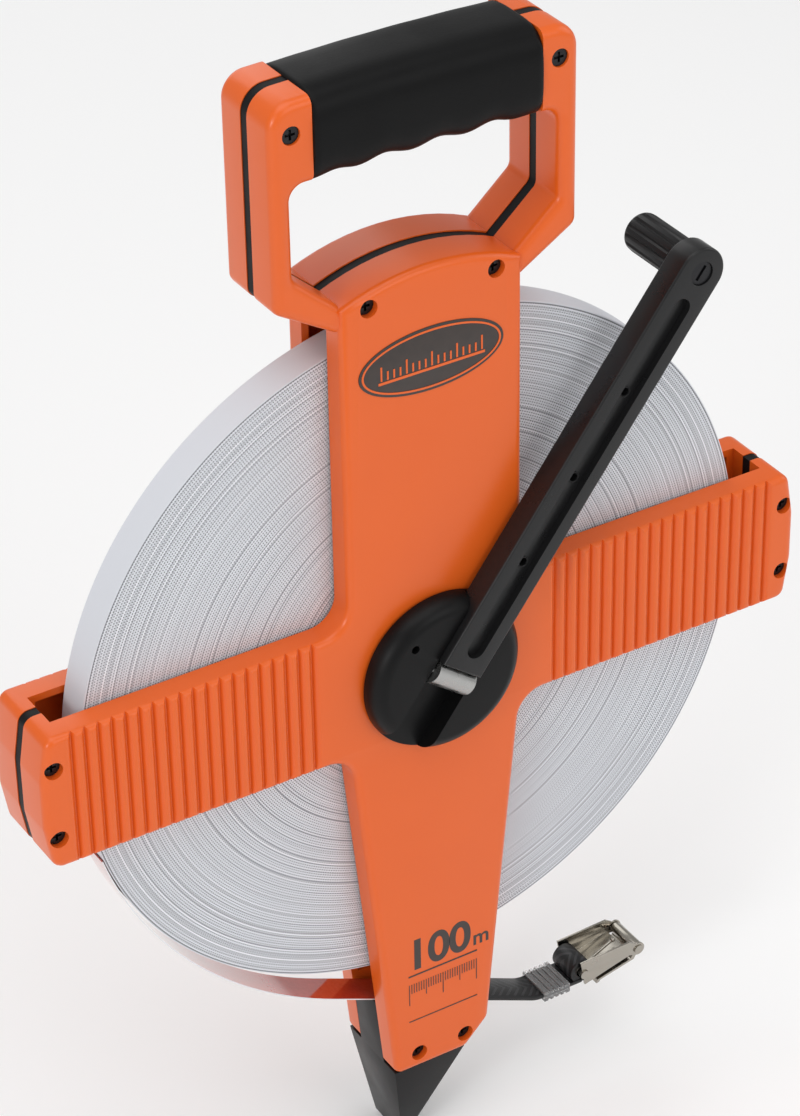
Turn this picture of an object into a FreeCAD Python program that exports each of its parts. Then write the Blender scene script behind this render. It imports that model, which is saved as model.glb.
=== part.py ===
# Open-frame long tape reel: 100 m glass-fibre blade, folding 3:1 geared crank, carrying handle.
# Frame: origin on the hub axis in the middle of the blade, X to the right, -Y to the front, Z up.
import FreeCAD, Part
import Sketcher
import math
import os
from FreeCAD import Placement, Rotation, Vector

doc = FreeCAD.newDocument("TapeReel")
sheet = doc.addObject("Spreadsheet::Sheet", "Sizes")
SIZES = [
    # blade and spool
    ("blade_width", 13.0), ("blade_thick", 0.45), ("coil_radius", 126.0), ("core_radius", 39.5),
    ("tube_wall", 3.0), ("web_thick", 3.0), ("rim_wide", 3.5), ("rim_thick", 0.7),
    # case: skins, walls and the room round the blade
    ("case_half", 17.0), ("case_skin", 2.6), ("case_wall", 2.6), ("slot_gap", 1.25),
    ("seam_half", 2.0), ("face_bevel", 2.2), ("end_gap", 10.0), ("end_block", 9.0),
    ("arm_bow", 3.0), ("arm_half", 25.0), ("web_corner", 10.0), ("top_gap", 8.0),
    ("top_wall", 8.5), ("top_arch", 7.0), ("foot_half", 19.6), ("foot_gap", 33.0),
    ("foot_high", 9.7), ("foot_left", -18.7), ("foot_right", 10.0), ("cavity_gap", 12.0),
    ("rib_count", 18), ("rib_deep", 1.2), ("rib_valley", 0.5), ("rib_mouth", 1.6),
    ("rib_margin", 3.5), ("rib_end", 12.1),
    # handle and grip
    ("handle_half", 54.5), ("handle_step", 1.5), ("handle_rise", 4.5), ("handle_bow", 1.5),
    ("handle_corner", 8.5), ("limb_wide", 7.0), ("opening_step", 10.0), ("opening_high", 30.0),
    ("bar_high", 29.0), ("toe_step", 2.0), ("toe_sink", 4.0), ("core_inset", 0.3),
    ("grip_left", -40.0), ("grip_right", 41.0), ("grip_wall", 3.4), ("grip_proud", 0.8),
    ("grip_edge", 6.0), ("finger_pitch", 19.0), ("finger_deep", 1.5),
    # screws
    ("screw_bore", 1.7), ("screw_shank", 1.5), ("screw_well", 3.1), ("screw_head", 2.9),
    ("head_high", 2.1), ("well_deep", 4.4), ("screw_end_z", 13.3), ("screw_foot_x", 9.5),
    ("lug_screw", 1.1),
    # ground spike
    ("spike_tip_x", -12.0), ("spike_long", 37.3), ("spike_tip_half", 9.0), ("spike_edge", 0.6),
    # axle
    ("axle_radius", 4.0), ("run_gap", 0.05), ("bolt_head_high", 2.4), ("nut_high", 4.6),
    ("washer_thick", 0.8), ("play", 0.3),
    # gears
    ("gear_module", 0.8), ("sun_teeth", 28), ("planet_teeth", 14), ("gear_high", 5.4),
    ("gear_front", 9.7), ("mesh_play", 0.24), ("carrier_gap", 0.5), ("flange_thick", 2.5),
    ("ring_back", 4.0), ("pin_radius", 1.5),
    # hub and crank
    ("hub_gap", 0.3), ("hub_flange", 8.0), ("hub_dome", 5.0), ("crank_angle", 37.2),
    ("crank_wide", 17.6), ("crank_thick", 9.5), ("crank_clear", 2.0), ("crank_start", 3.9),
    ("crank_reach", 28.6), ("crank_slot", 7.0), ("crank_floor", 3.0), ("crank_bevel", 1.2),
    ("hinge_pin", 1.2), ("barrel_long", 17.0), ("tang_wide", 6.0), ("tang_thick", 3.0),
    ("tang_long", 5.0), ("knob_radius", 7.0), ("knob_long", 25.0), ("knob_bevel", 1.8),
    ("knob_flutes", 14), ("flute_radius", 0.9), ("knob_bolt", 2.0), ("knob_head", 4.0),
    # free end, leader, clamp and hook
    ("tail_gap", 0.35), ("tail_slope", 24.4), ("tail_room", 10.1), ("tail_join", 21.1),
    ("leader_thick", 1.5), ("leader_from", -8.0), ("leader_knee", 31.0), ("clamp_from", 49.5),
    ("clamp_long", 11.0), ("clamp_thick", 3.8), ("clamp_ribs", 5), ("loop_step", 16.8),
    ("loop_drop", 8.0), ("loop_radius", 4.6), ("hook_pin", 1.7), ("hook_room", 0.7),
    ("hook_sheet", 0.8), ("hook_long", 23.7), ("hook_rise", 1.4), ("far_tube", 2.3),
    ("far_pin", 1.1),
]
DERIVED = [
    ("slot_half", "blade_width / 2 + slot_gap"),
    ("arm_length", "coil_radius + end_gap + end_block"),
    ("slot_top", "coil_radius + top_gap"),
    ("column_top", "slot_top + top_wall"),
    ("foot_level", "-(coil_radius + foot_gap)"),
    ("foot_base", "foot_level - foot_high"),
    ("cavity_low", "-(coil_radius + cavity_gap)"),
    ("handle_face", "case_half - handle_step"),
    ("handle_low", "column_top + handle_rise"),
    ("opening_low", "handle_low + opening_step"),
    ("opening_top", "opening_low + opening_high"),
    ("handle_high", "opening_top + bar_high"),
    ("opening_half", "handle_half - limb_wide"),
    ("ring_teeth", "sun_teeth + 2 * planet_teeth"),
    ("planet_orbit", "(sun_teeth + planet_teeth) * gear_module / 2"),
    ("ring_outer", "ring_teeth * gear_module / 2 + 3.2"),
    ("lug_radius", "ring_outer + 2.1"),
    ("flange_radius", "ring_outer + 4.2"),
    ("column_half", "flange_radius + 2 * play + case_wall"),
    ("toe_half", "column_half - toe_step"),
    ("hub_neck", "planet_orbit + 2.4 + pin_radius"),
    ("hub_bore", "hub_neck + play"),
    ("hub_radius", "hub_bore + hub_flange"),
    ("hub_face", "hub_radius - hub_dome"),
    ("carrier_back", "gear_front + carrier_gap"),
    ("crank_mid", "case_half + crank_clear + crank_thick / 2"),
    ("hub_high", "crank_mid - case_half + hinge_pin + play"),
    ("groove_wide", "crank_wide + play + 0.1"),
    ("groove_floor", "case_half + crank_clear - 0.2"),
    ("hinge_barrel", "crank_thick / 2 - 0.25"),
    ("crank_radius", "coil_radius + crank_reach"),
    ("bush_radius", "axle_radius + 1.6"),
    ("drum_hub", "bush_radius + 2.4"),
    ("bolt_head", "axle_radius + 3"),
    ("nut_flats", "2 * axle_radius + 3"),
    ("nut_well", "axle_radius + 3.4"),
    ("axle_boss", "nut_well + 3.6"),
    ("flange_rim", "core_radius + rim_wide"),
    ("screw_end_x", "arm_length - 5"),
    ("screw_top_x", "column_half - 9.9"),
    ("screw_top_z", "column_top - 1.5"),
    ("screw_foot_z", "foot_level - 3"),
    ("screw_grip_x", "handle_half - 7.3"),
    ("screw_grip_z", "handle_high - 10.3"),
    ("screw_reach", "case_half - 6"),
    ("rib_first", "column_half + web_corner + rib_margin"),
    ("rib_pitch", "(arm_length - rib_end - rib_first) / rib_count"),
    ("spike_tip_z", "foot_base - spike_long"),
    ("tail_offset", "coil_radius + tail_room"),
    ("loop_x", "clamp_from + loop_step"),
    ("loop_z", "foot_level - loop_drop"),
    ("hook_half", "blade_width / 2 + hook_room + hook_sheet"),
    ("far_x", "loop_x + hook_long"),
    ("far_z", "loop_z + hook_rise"),
]
for row, (alias, number) in enumerate(SIZES, start=1):
    sheet.set("A%d" % row, alias)
    sheet.set("B%d" % row, repr(number))
    sheet.setAlias("B%d" % row, alias)
for row, (alias, formula) in enumerate(DERIVED, start=len(SIZES) + 1):
    sheet.set("A%d" % row, alias)
    sheet.set("B%d" % row, "=" + formula)
    sheet.setAlias("B%d" % row, alias)
doc.recompute()


class Named:
    """The spreadsheet's numbers, read by name."""

    def __getattr__(self, alias):
        return float(sheet.get(alias))


v = Named()
FRONT = 1
REAR = -1


def polar(radius, angle):
    """A point of the front view at an angle turned from +Z toward +X, in degrees."""
    turn = math.radians(angle)
    return radius * math.sin(turn), radius * math.cos(turn)


def new_body(name, placement=None):
    body = doc.addObject("PartDesign::Body", name)
    body.Label = name
    if placement is not None:
        body.Placement = placement
    return body


def new_sketch(body, role="XZ_Plane", offset="0"):
    sketch = body.newObject("Sketcher::SketchObject", body.Name + "_sketch")
    planes = [item for item in body.Origin.OriginFeatures if item.Role == role]
    sketch.AttachmentSupport = [(planes[0], "")]
    sketch.MapMode = "FlatFace"
    sketch.setExpression("AttachmentOffset.Base.z", offset)
    return sketch


def add_circle(sketch, centre, radius):
    """A circle whose radius is bound to the sheet."""
    start = Part.Circle(Vector(centre[0], centre[1], 0), Vector(0, 0, 1), 1.0)
    index = sketch.addGeometry(start)
    place = sketch.addConstraint(Sketcher.Constraint("Radius", index, 1.0))
    sketch.setExpression("Constraints[%d]" % place, radius)


def add_loop(sketch, corners):
    """A closed outline. A corner is (x, z), (x, z, fillet) or (x, z, 0, via) for an arc to it."""
    count = len(corners)
    starts = []
    ends = []
    for index, corner in enumerate(corners):
        here = Vector(corner[0], corner[1], 0)
        fillet = corner[2] if len(corner) > 2 else 0
        if fillet <= 0:
            starts.append(here)
            ends.append(here)
            continue
        before = Vector(corners[index - 1][0], corners[index - 1][1], 0) - here
        after_corner = corners[(index + 1) % count]
        after = Vector(after_corner[0], after_corner[1], 0) - here
        before.normalize()
        after.normalize()
        half = before.getAngle(after) / 2
        reach = fillet / math.tan(half)
        inward = before + after
        inward.normalize()
        tip = here + inward * (fillet / math.sin(half) - fillet)
        starts.append(here + before * reach)
        ends.append(here + after * reach)
        sketch.addGeometry(Part.Arc(starts[-1], tip, ends[-1]))
    for index, corner in enumerate(corners):
        first = ends[index - 1]
        last = starts[index]
        if len(corner) > 3:
            sketch.addGeometry(Part.Arc(first, Vector(corner[3][0], corner[3][1], 0), last))
        elif first.distanceToPoint(last) > 1e-6:
            sketch.addGeometry(Part.LineSegment(first, last))


def pad(body, sketch, length, back=False):
    feature = body.newObject("PartDesign::Pad", body.Name + "_pad")
    feature.Profile = sketch
    feature.setExpression("Length", length)
    feature.Reversed = back
    body.Tip = feature
    doc.recompute()
    return feature


def pocket(body, sketch, length, back=False):
    """A cut along the sketch's normal, or against it with back; it has to remove something."""
    before = body.Shape.Volume
    feature = body.newObject("PartDesign::Pocket", body.Name + "_pocket")
    feature.Profile = sketch
    feature.setExpression("Length", length)
    feature.Reversed = not back
    body.Tip = feature
    doc.recompute()
    if body.Shape.Volume > before - 1e-6:
        raise RuntimeError("a cut in %s removed nothing" % body.Name)
    return feature


def bevel_face(body, level, size):
    """Bevels every edge of the flat face that lies at this y."""
    solid = body.Tip
    names = []
    for index, edge in enumerate(solid.Shape.Edges, start=1):
        box = edge.BoundBox
        if abs(box.YMin - level) < 1e-4 and abs(box.YMax - level) < 1e-4:
            names.append("Edge%d" % index)
    feature = body.newObject("PartDesign::Chamfer", body.Name + "_bevel")
    feature.Base = (solid, names)
    feature.setExpression("Size", size)
    body.Tip = feature
    doc.recompute()


def solid_node(name, shape, placement=None):
    """A piece whose shape is worked out with Part's functions from the sheet's numbers."""
    item = doc.addObject("Part::Feature", name)
    item.Label = name
    item.Shape = shape
    if placement is not None:
        item.Placement = placement
    return item


def rod(radius, first, last):
    """A cylinder between two points."""
    axis = last - first
    return Part.makeCylinder(radius, axis.Length, first, axis)


def y_rod(radius, x, z, front, back):
    """A cylinder along Y, from y = front to y = back."""
    return Part.makeCylinder(radius, back - front, Vector(x, front, z), Vector(0, 1, 0))


def prism(corners, front, back):
    """An outline of the front view, given depth from y = front to y = back."""
    points = [Vector(x, front, z) for x, z in corners]
    points.append(points[0])
    return Part.Face(Part.makePolygon(points)).extrude(Vector(0, back - front, 0))


# ---- outlines of the front view --------------------------------------------------------------


def column_edge(level):
    """Half width of the column at a height below the arms."""
    share = (level + v.arm_half) / (v.foot_level + v.arm_half)
    return v.column_half + share * (v.foot_half - v.column_half)


def case_outline():
    """Column, arms and foot of one half shell."""
    half = v.column_half
    arm_x = v.arm_length - v.arm_bow
    foot = column_edge(v.foot_level)
    return [
        (half, v.column_top),
        (half, v.arm_half, v.web_corner),
        (arm_x, v.arm_half),
        (arm_x, -v.arm_half, 0, (v.arm_length, 0)),
        (half, -v.arm_half, v.web_corner),
        (foot, v.foot_level, 4.0),
        (v.foot_right, v.foot_base, 4.0),
        (v.foot_left, v.foot_base, 3.0),
        (-half, -v.arm_half, v.web_corner),
        (-arm_x, -v.arm_half),
        (-arm_x, v.arm_half, 0, (-v.arm_length, 0)),
        (-half, v.arm_half, v.web_corner),
        (-half, v.column_top),
        (half, v.column_top, 0, (0, v.column_top + v.top_arch)),
    ]


def handle_outline(inset=0.0):
    """Outer edge of the handle and of the column's top, closed along the top of the slot."""
    half = v.handle_half - inset
    high = v.handle_high - inset
    middle = high + v.handle_bow
    corner = v.handle_corner
    low = v.column_half - inset
    return [
        (low, v.slot_top),
        (half, v.handle_low, 4.0),
        (half, high, corner),
        (0, middle, 400.0),
        (-half, high, corner),
        (-half, v.handle_low, 4.0),
        (-low, v.slot_top),
    ]


def opening_outline(inset, sink):
    """Inner edge of the handle. It is closed by the arch of the column's top, sunk by sink."""
    half = v.opening_half + inset
    toe = v.toe_half + inset
    base = v.column_top + 1.0 - inset
    slope = (v.opening_half - v.toe_half) / (v.opening_low - base)
    toe -= sink * slope
    base -= sink
    return [
        (toe, base),
        (half, v.opening_low, 3.0),
        (half, v.opening_top + inset, 3.0),
        (-half, v.opening_top + inset, 3.0),
        (-half, v.opening_low, 3.0),
        (-toe, base),
        (toe, base, 0, (0, v.column_top + v.top_arch - inset - sink)),
    ]


def top_outline():
    """The column's closed top above the slot."""
    half = v.column_half
    arch = (0, v.column_top + v.top_arch)
    return [(half, v.slot_top), (half, v.column_top), (-half, v.column_top, 0, arch), (-half, v.slot_top)]


def cavity_outline():
    """Hollow behind the skin of the column and the arms."""
    wall = v.case_wall
    half = v.column_half - wall
    arm_x = v.arm_length - v.end_block
    arm_z = v.arm_half - wall
    low = column_edge(v.cavity_low) - wall
    right = [
        (half, v.slot_top - wall),
        (half, arm_z),
        (arm_x - wall, arm_z),
        (arm_x - wall, -arm_z),
        (half, -arm_z),
        (low, v.cavity_low),
    ]
    return right + [(-x, z) for x, z in reversed(right)]


def end_outline(side, inset=0.0):
    """The closed block at the end of an arm."""
    inner = side * (v.arm_length - v.end_block)
    outer = side * (v.arm_length - v.arm_bow - inset)
    half = v.arm_half - inset
    bow = (side * (v.arm_length - inset), 0)
    return [(inner, half), (outer, half), (outer, -half, 0, bow), (inner, -half)]


CASE_SCREWS = [(side * v.screw_end_x, level * v.screw_end_z) for side in (-1, 1) for level in (-1, 1)]
CASE_SCREWS += [(side * v.screw_top_x, v.screw_top_z) for side in (-1, 1)]
CASE_SCREWS += [(side * v.screw_foot_x, v.screw_foot_z) for side in (-1, 1)]
GRIP_SCREWS = [(side * v.screw_grip_x, v.screw_grip_z) for side in (-1, 1)]

# ---- case ------------------------------------------------------------------------------------


def case_shell(name, side):
    """One half of the case. side is FRONT or REAR; every level is measured from the seam."""
    back = side == REAR
    sign = "" if side == FRONT else "-"
    body = new_body(name)
    cross = new_sketch(body, offset=sign + "Sizes.slot_half")
    add_loop(cross, case_outline())
    pad(body, cross, "Sizes.case_half - Sizes.slot_half", back)
    bevel_face(body, -side * v.case_half, "Sizes.face_bevel")
    for outline in (end_outline(-1), end_outline(1), top_outline()):
        block = new_sketch(body, offset=sign + "Sizes.seam_half")
        add_loop(block, outline)
        pad(body, block, "Sizes.slot_half - Sizes.seam_half", back)
    ring = new_sketch(body, offset=sign + "Sizes.seam_half")
    add_loop(ring, handle_outline())
    add_loop(ring, opening_outline(0.0, v.toe_sink))
    pad(body, ring, "Sizes.handle_face - Sizes.seam_half", back)
    hollow = new_sketch(body, offset=sign + "Sizes.slot_half")
    add_loop(hollow, cavity_outline())
    pocket(body, hollow, "Sizes.case_half - Sizes.case_skin - Sizes.slot_half", back)
    cut_grip_seat(body, sign, back)
    cut_ribs(body)
    bore_shell(body, side, sign, back)
    return body


def cut_grip_seat(body, sign, back):
    """The bar under the grip is thinner all round by the grip's wall."""
    face = new_sketch(body, offset=sign + "(Sizes.handle_face - Sizes.grip_wall)")
    low = v.opening_top - 1
    high = v.handle_high + v.handle_bow + 1
    add_loop(face, [(v.grip_left, low), (v.grip_right, low), (v.grip_right, high), (v.grip_left, high)])
    pocket(body, face, "Sizes.grip_wall + 1", back)
    edges = new_sketch(body, offset=sign + "(Sizes.seam_half - 1)")
    seat_low = v.opening_top + v.grip_wall
    seat_high = v.handle_high - v.grip_wall
    for bottom, top in ((low, seat_low), (seat_high, high)):
        corners = [(v.grip_left, bottom), (v.grip_right, bottom), (v.grip_right, top)]
        add_loop(edges, corners + [(v.grip_left, top)])
    pocket(body, edges, "Sizes.handle_face + 1", back)


def cut_ribs(body):
    """Grooves between the ribs of both arms, full height."""
    level = v.case_half
    sketch = new_sketch(body, role="XY_Plane", offset="-Sizes.arm_half - 1")
    front = -1 if body.Name.startswith("front") else 1
    for side in (-1, 1):
        for index in range(int(v.rib_count) + 1):
            x = side * (v.rib_first + index * v.rib_pitch)
            top = front * (level + 0.1)
            floor = front * (level - v.rib_deep)
            add_loop(sketch, [
                (x - v.rib_mouth / 2, top),
                (x - v.rib_valley / 2, floor),
                (x + v.rib_valley / 2, floor),
                (x + v.rib_mouth / 2, top),
            ])
    pocket(body, sketch, "2 * Sizes.arm_half + 2")


def bore_shell(body, side, sign, back):
    """Screw wells and clearance in the front half, pilots in the rear half, and the hub's hole."""
    bores = new_sketch(body, offset=sign + "(Sizes.seam_half - 1)")
    for place in CASE_SCREWS + GRIP_SCREWS:
        add_circle(bores, place, "Sizes.screw_bore" if side == FRONT else "Sizes.screw_shank")
    depth = "Sizes.case_half" if side == FRONT else "Sizes.screw_reach + 0.5 - Sizes.seam_half + 1"
    pocket(body, bores, depth, back)
    hub = new_sketch(body, offset=sign + "(Sizes.slot_half - 1)")
    if side == FRONT:
        wells = new_sketch(body, offset=sign + "(Sizes.case_half - Sizes.well_deep)")
        for place in CASE_SCREWS + GRIP_SCREWS:
            add_circle(wells, place, "Sizes.screw_well")
        pocket(body, wells, "Sizes.well_deep + 1", back)
        add_circle(hub, (0, 0), "Sizes.hub_bore")
        for index in range(4):
            add_circle(hub, polar(v.lug_radius, 45 + 90 * index), "Sizes.lug_screw")
        pocket(body, hub, "Sizes.case_half - Sizes.slot_half + 2", back)
        return
    boss = new_sketch(body, offset=sign + "Sizes.slot_half")
    add_circle(boss, (0, 0), "Sizes.axle_boss")
    pad(body, boss, "Sizes.case_half - Sizes.case_skin - Sizes.slot_half + 0.5", back)
    add_circle(hub, (0, 0), "Sizes.axle_radius + Sizes.run_gap")
    pocket(body, hub, "Sizes.case_half", back)
    well = new_sketch(body, offset=sign + "(Sizes.case_half - Sizes.nut_high - 0.4)")
    add_circle(well, (0, 0), "Sizes.nut_well")
    pocket(body, well, "Sizes.nut_high + 2", back)


def seam_plate(name, loops, screws):
    """A flat packing piece between the two halves, drilled for the screws that pass it."""
    body = new_body(name)
    sketch = new_sketch(body, offset="-Sizes.seam_half")
    for loop in loops:
        add_loop(sketch, loop)
    pad(body, sketch, "2 * Sizes.seam_half")
    holes = new_sketch(body, offset="-Sizes.seam_half - 1")
    for place in screws:
        add_circle(holes, place, "Sizes.screw_bore")
    pocket(body, holes, "2 * Sizes.seam_half + 2")
    return body


def handle_core():
    """The dark frame inside the handle: both halves close on it."""
    body = seam_plate("handle_core", [handle_outline(v.core_inset), opening_outline(v.core_inset, 0.0)],
                      CASE_SCREWS[4:6] + GRIP_SCREWS)
    edges = new_sketch(body, offset="-Sizes.seam_half - 1")
    seat_low = v.opening_top + v.grip_wall
    seat_high = v.handle_high - v.grip_wall
    low = v.opening_top - 1
    high = v.handle_high + v.handle_bow + 1
    for bottom, top in ((low, seat_low), (seat_high, high)):
        corners = [(v.grip_left, bottom), (v.grip_right, bottom), (v.grip_right, top)]
        add_loop(edges, corners + [(v.grip_left, top)])
    pocket(body, edges, "2 * Sizes.seam_half + 2")
    return body


def grip_sleeve():
    """Rubber sleeve round the top bar, with finger grooves on the underside."""
    body = new_body("grip_sleeve")
    section = new_sketch(body, role="YZ_Plane", offset="Sizes.grip_left")
    half = v.handle_face + v.grip_proud
    low = v.opening_top - v.grip_proud
    high = v.handle_high + v.handle_bow + v.grip_proud
    edge = v.grip_edge
    add_loop(section, [(-half, low, edge), (half, low, edge), (half, high, edge), (-half, high, edge)])
    seat = v.handle_face - v.grip_wall
    seat_low = v.opening_top + v.grip_wall
    seat_high = v.handle_high - v.grip_wall
    add_loop(section, [(-seat, seat_low), (seat, seat_low), (seat, seat_high), (-seat, seat_high)])
    pad(body, section, "Sizes.grip_right - Sizes.grip_left")
    fingers = new_sketch(body, offset="-Sizes.handle_face - Sizes.grip_proud - 1")
    middle = (v.grip_left + v.grip_right) / 2
    reach = 0.42 * v.finger_pitch
    for index in range(4):
        centre = middle + (index - 1.5) * v.finger_pitch
        add_loop(fingers, [
            (centre - reach, low - 1),
            (centre + reach, low - 1),
            (centre + reach, low),
            (centre - reach, low, 0, (centre, low + v.finger_deep)),
        ])
    pocket(body, fingers, "2 * Sizes.handle_face + 2 * Sizes.grip_proud + 2")
    return body


def tail_height(x):
    """Height of the blade's free run where it crosses the column."""
    slope = math.radians(v.tail_slope)
    return -v.tail_offset / math.cos(slope) - x * math.tan(slope)


def ground_spike():
    """Steel spike: a wedge under the case and a web held between the two halves."""
    body = new_body("ground_spike")
    web = new_sketch(body, offset="-Sizes.slot_half")
    left = -column_edge(v.cavity_low)
    right = column_edge(v.foot_level)
    drop = v.leader_thick / 2 + v.play
    add_loop(web, [
        (left + 0.3, tail_height(left) - drop),
        (right - 0.3, tail_height(right) - drop),
        (right - 0.3, min(v.foot_level, tail_height(right) - drop - 0.5)),
        (v.foot_right, v.foot_base),
        (v.foot_left, v.foot_base),
    ])
    pad(body, web, "2 * Sizes.slot_half")
    wedge = new_sketch(body, offset="-Sizes.handle_face")
    add_loop(wedge, [
        (v.foot_right, v.foot_base),
        (v.spike_tip_x + v.spike_edge, v.spike_tip_z),
        (v.spike_tip_x - v.spike_edge, v.spike_tip_z),
        (v.foot_left, v.foot_base),
    ])
    pad(body, wedge, "2 * Sizes.handle_face")
    taper = new_sketch(body, role="YZ_Plane", offset="Sizes.foot_left - 1")
    for side in (-1, 1):
        add_loop(taper, [
            (side * v.handle_face, v.foot_base),
            (side * v.spike_tip_half, v.spike_tip_z - 1),
            (side * (v.handle_face + 1), v.spike_tip_z - 1),
            (side * (v.handle_face + 1), v.foot_base),
        ])
    pocket(body, taper, "Sizes.foot_right - Sizes.foot_left + 12")
    holes = new_sketch(body, offset="-Sizes.slot_half - 1")
    for place in CASE_SCREWS[6:8]:
        add_circle(holes, place, "Sizes.screw_bore")
    pocket(body, holes, "2 * Sizes.slot_half + 2")
    return body


def cross_screw(x, z, face):
    """A cross-head screw put in from the front."""
    seat = -(face - v.well_deep)
    head = y_rod(v.screw_head, x, z, seat - v.head_high, seat)
    shank = y_rod(v.screw_shank, x, z, seat, v.screw_reach)
    screw = head.fuse(shank)
    long = v.screw_head * 1.2
    wide = v.screw_head * 0.3
    for across, up in ((long, wide), (wide, long)):
        corner = Vector(x - across / 2, seat - v.head_high - 0.1, z - up / 2)
        screw = screw.cut(Part.makeBox(across, v.head_high * 0.6, up, corner))
    return screw


def case_screws():
    """The ten screws that close the case."""
    places = CASE_SCREWS + GRIP_SCREWS
    screws = [cross_screw(x, z, v.case_half) for x, z in places]
    return solid_node("case_screws", Part.makeCompound(screws))


# ---- gears and axle --------------------------------------------------------------------------

PRESSURE = math.radians(20.0)


def roll(angle):
    return math.tan(angle) - angle


def gear_loop(teeth, inner, outer, widen):
    """A toothed outline with a tooth toward +Z. widen is added to each tooth at the pitch line."""
    pitch = teeth * v.gear_module / 2
    base = pitch * math.cos(PRESSURE)
    radii = [inner, max(base, inner) * 0.5 + pitch * 0.5, pitch, (pitch + outer) / 2, outer]
    half = []
    for radius in radii:
        slant = math.acos(min(1.0, base / radius))
        half.append(math.pi / (2 * teeth) + widen / (2 * pitch) + roll(PRESSURE) - roll(slant))
    points = []
    for tooth in range(int(teeth)):
        middle = 2 * math.pi * tooth / teeth
        for radius, angle in zip(radii, half):
            points.append((radius * math.sin(middle - angle), radius * math.cos(middle - angle)))
        for radius, angle in reversed(list(zip(radii, half))):
            points.append((radius * math.sin(middle + angle), radius * math.cos(middle + angle)))
    return points


def spur_gear(name, teeth, bore, placement):
    body = new_body(name, placement)
    pitch = teeth * v.gear_module / 2
    sketch = new_sketch(body, offset="Sizes.gear_front - Sizes.gear_high")
    add_loop(sketch, gear_loop(teeth, pitch - 1.05 * v.gear_module, pitch + 0.8 * v.gear_module,
                               -v.mesh_play))
    add_circle(sketch, (0, 0), bore)
    pad(body, sketch, "Sizes.gear_high")
    return body


def y_turn(angle, x=0.0, z=0.0):
    return Placement(Vector(x, 0, z), Rotation(Vector(0, 1, 0), angle))


def ring_gear():
    """Fixed internal gear, screwed to the back of the front skin."""
    phase = 1.5 * v.crank_angle + 0.25 * (180 + 180 / v.planet_teeth)
    body = new_body("ring_gear", y_turn(phase))
    pitch = v.ring_teeth * v.gear_module / 2
    flange = new_sketch(body, offset="Sizes.case_half - Sizes.case_skin - Sizes.flange_thick")
    add_circle(flange, (0, 0), "Sizes.flange_radius")
    add_circle(flange, (0, 0), "(Sizes.ring_teeth / 2 - 0.8) * Sizes.gear_module")
    for index in range(4):
        add_circle(flange, polar(v.lug_radius, 45 + 90 * index - phase), "Sizes.lug_screw")
    pad(body, flange, "Sizes.flange_thick")
    teeth = new_sketch(body, offset="Sizes.ring_back")
    add_circle(teeth, (0, 0), "Sizes.ring_outer")
    add_loop(teeth, gear_loop(v.ring_teeth, pitch - 0.8 * v.gear_module,
                              pitch + 1.05 * v.gear_module, v.mesh_play))
    pad(body, teeth, "Sizes.case_half - Sizes.case_skin - Sizes.flange_thick - Sizes.ring_back")
    return body


def ring_screws():
    seat = -(v.case_half - v.case_skin - v.flange_thick)
    screws = []
    for index in range(4):
        x, z = polar(v.lug_radius, 45 + 90 * index)
        screw = y_rod(v.lug_screw, x, z, -v.case_half + 0.3, seat)
        head = y_rod(v.lug_screw * 1.8, x, z, seat, seat + 1.2)
        screws.append(screw.fuse(head))
    return solid_node("ring_gear_screws", Part.makeCompound(screws))


def axle_bolt():
    """The fixed axle: a round head in front of the crank hub, threaded into the nut behind."""
    seat = -v.groove_floor + v.bolt_head_high + 0.3
    head = y_rod(v.bolt_head, 0, 0, seat - v.bolt_head_high, seat)
    shank = y_rod(v.axle_radius, 0, 0, seat, v.case_half - 1)
    slot = Part.makeBox(1.2, 1.0, 2 * v.bolt_head, Vector(-0.6, seat - v.bolt_head_high - 0.1, -v.bolt_head))
    return solid_node("axle_bolt", head.fuse(shank).cut(slot))


def axle_nut():
    """Hexagon nut in the well of the rear half."""
    body = new_body("axle_nut")
    sketch = new_sketch(body, offset="-(Sizes.case_half - Sizes.nut_high - 0.4)")
    corner = v.nut_flats / math.sqrt(3)
    add_loop(sketch, [polar(corner, 60 * index) for index in range(6)])
    add_circle(sketch, (0, 0), "Sizes.axle_radius")
    pad(body, sketch, "Sizes.nut_high", True)
    return body


def washer(name, outer, front):
    body = new_body(name)
    sketch = new_sketch(body, offset=front)
    add_circle(sketch, (0, 0), outer)
    add_circle(sketch, (0, 0), "Sizes.axle_radius")
    pad(body, sketch, "Sizes.washer_thick", True)
    return body


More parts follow.
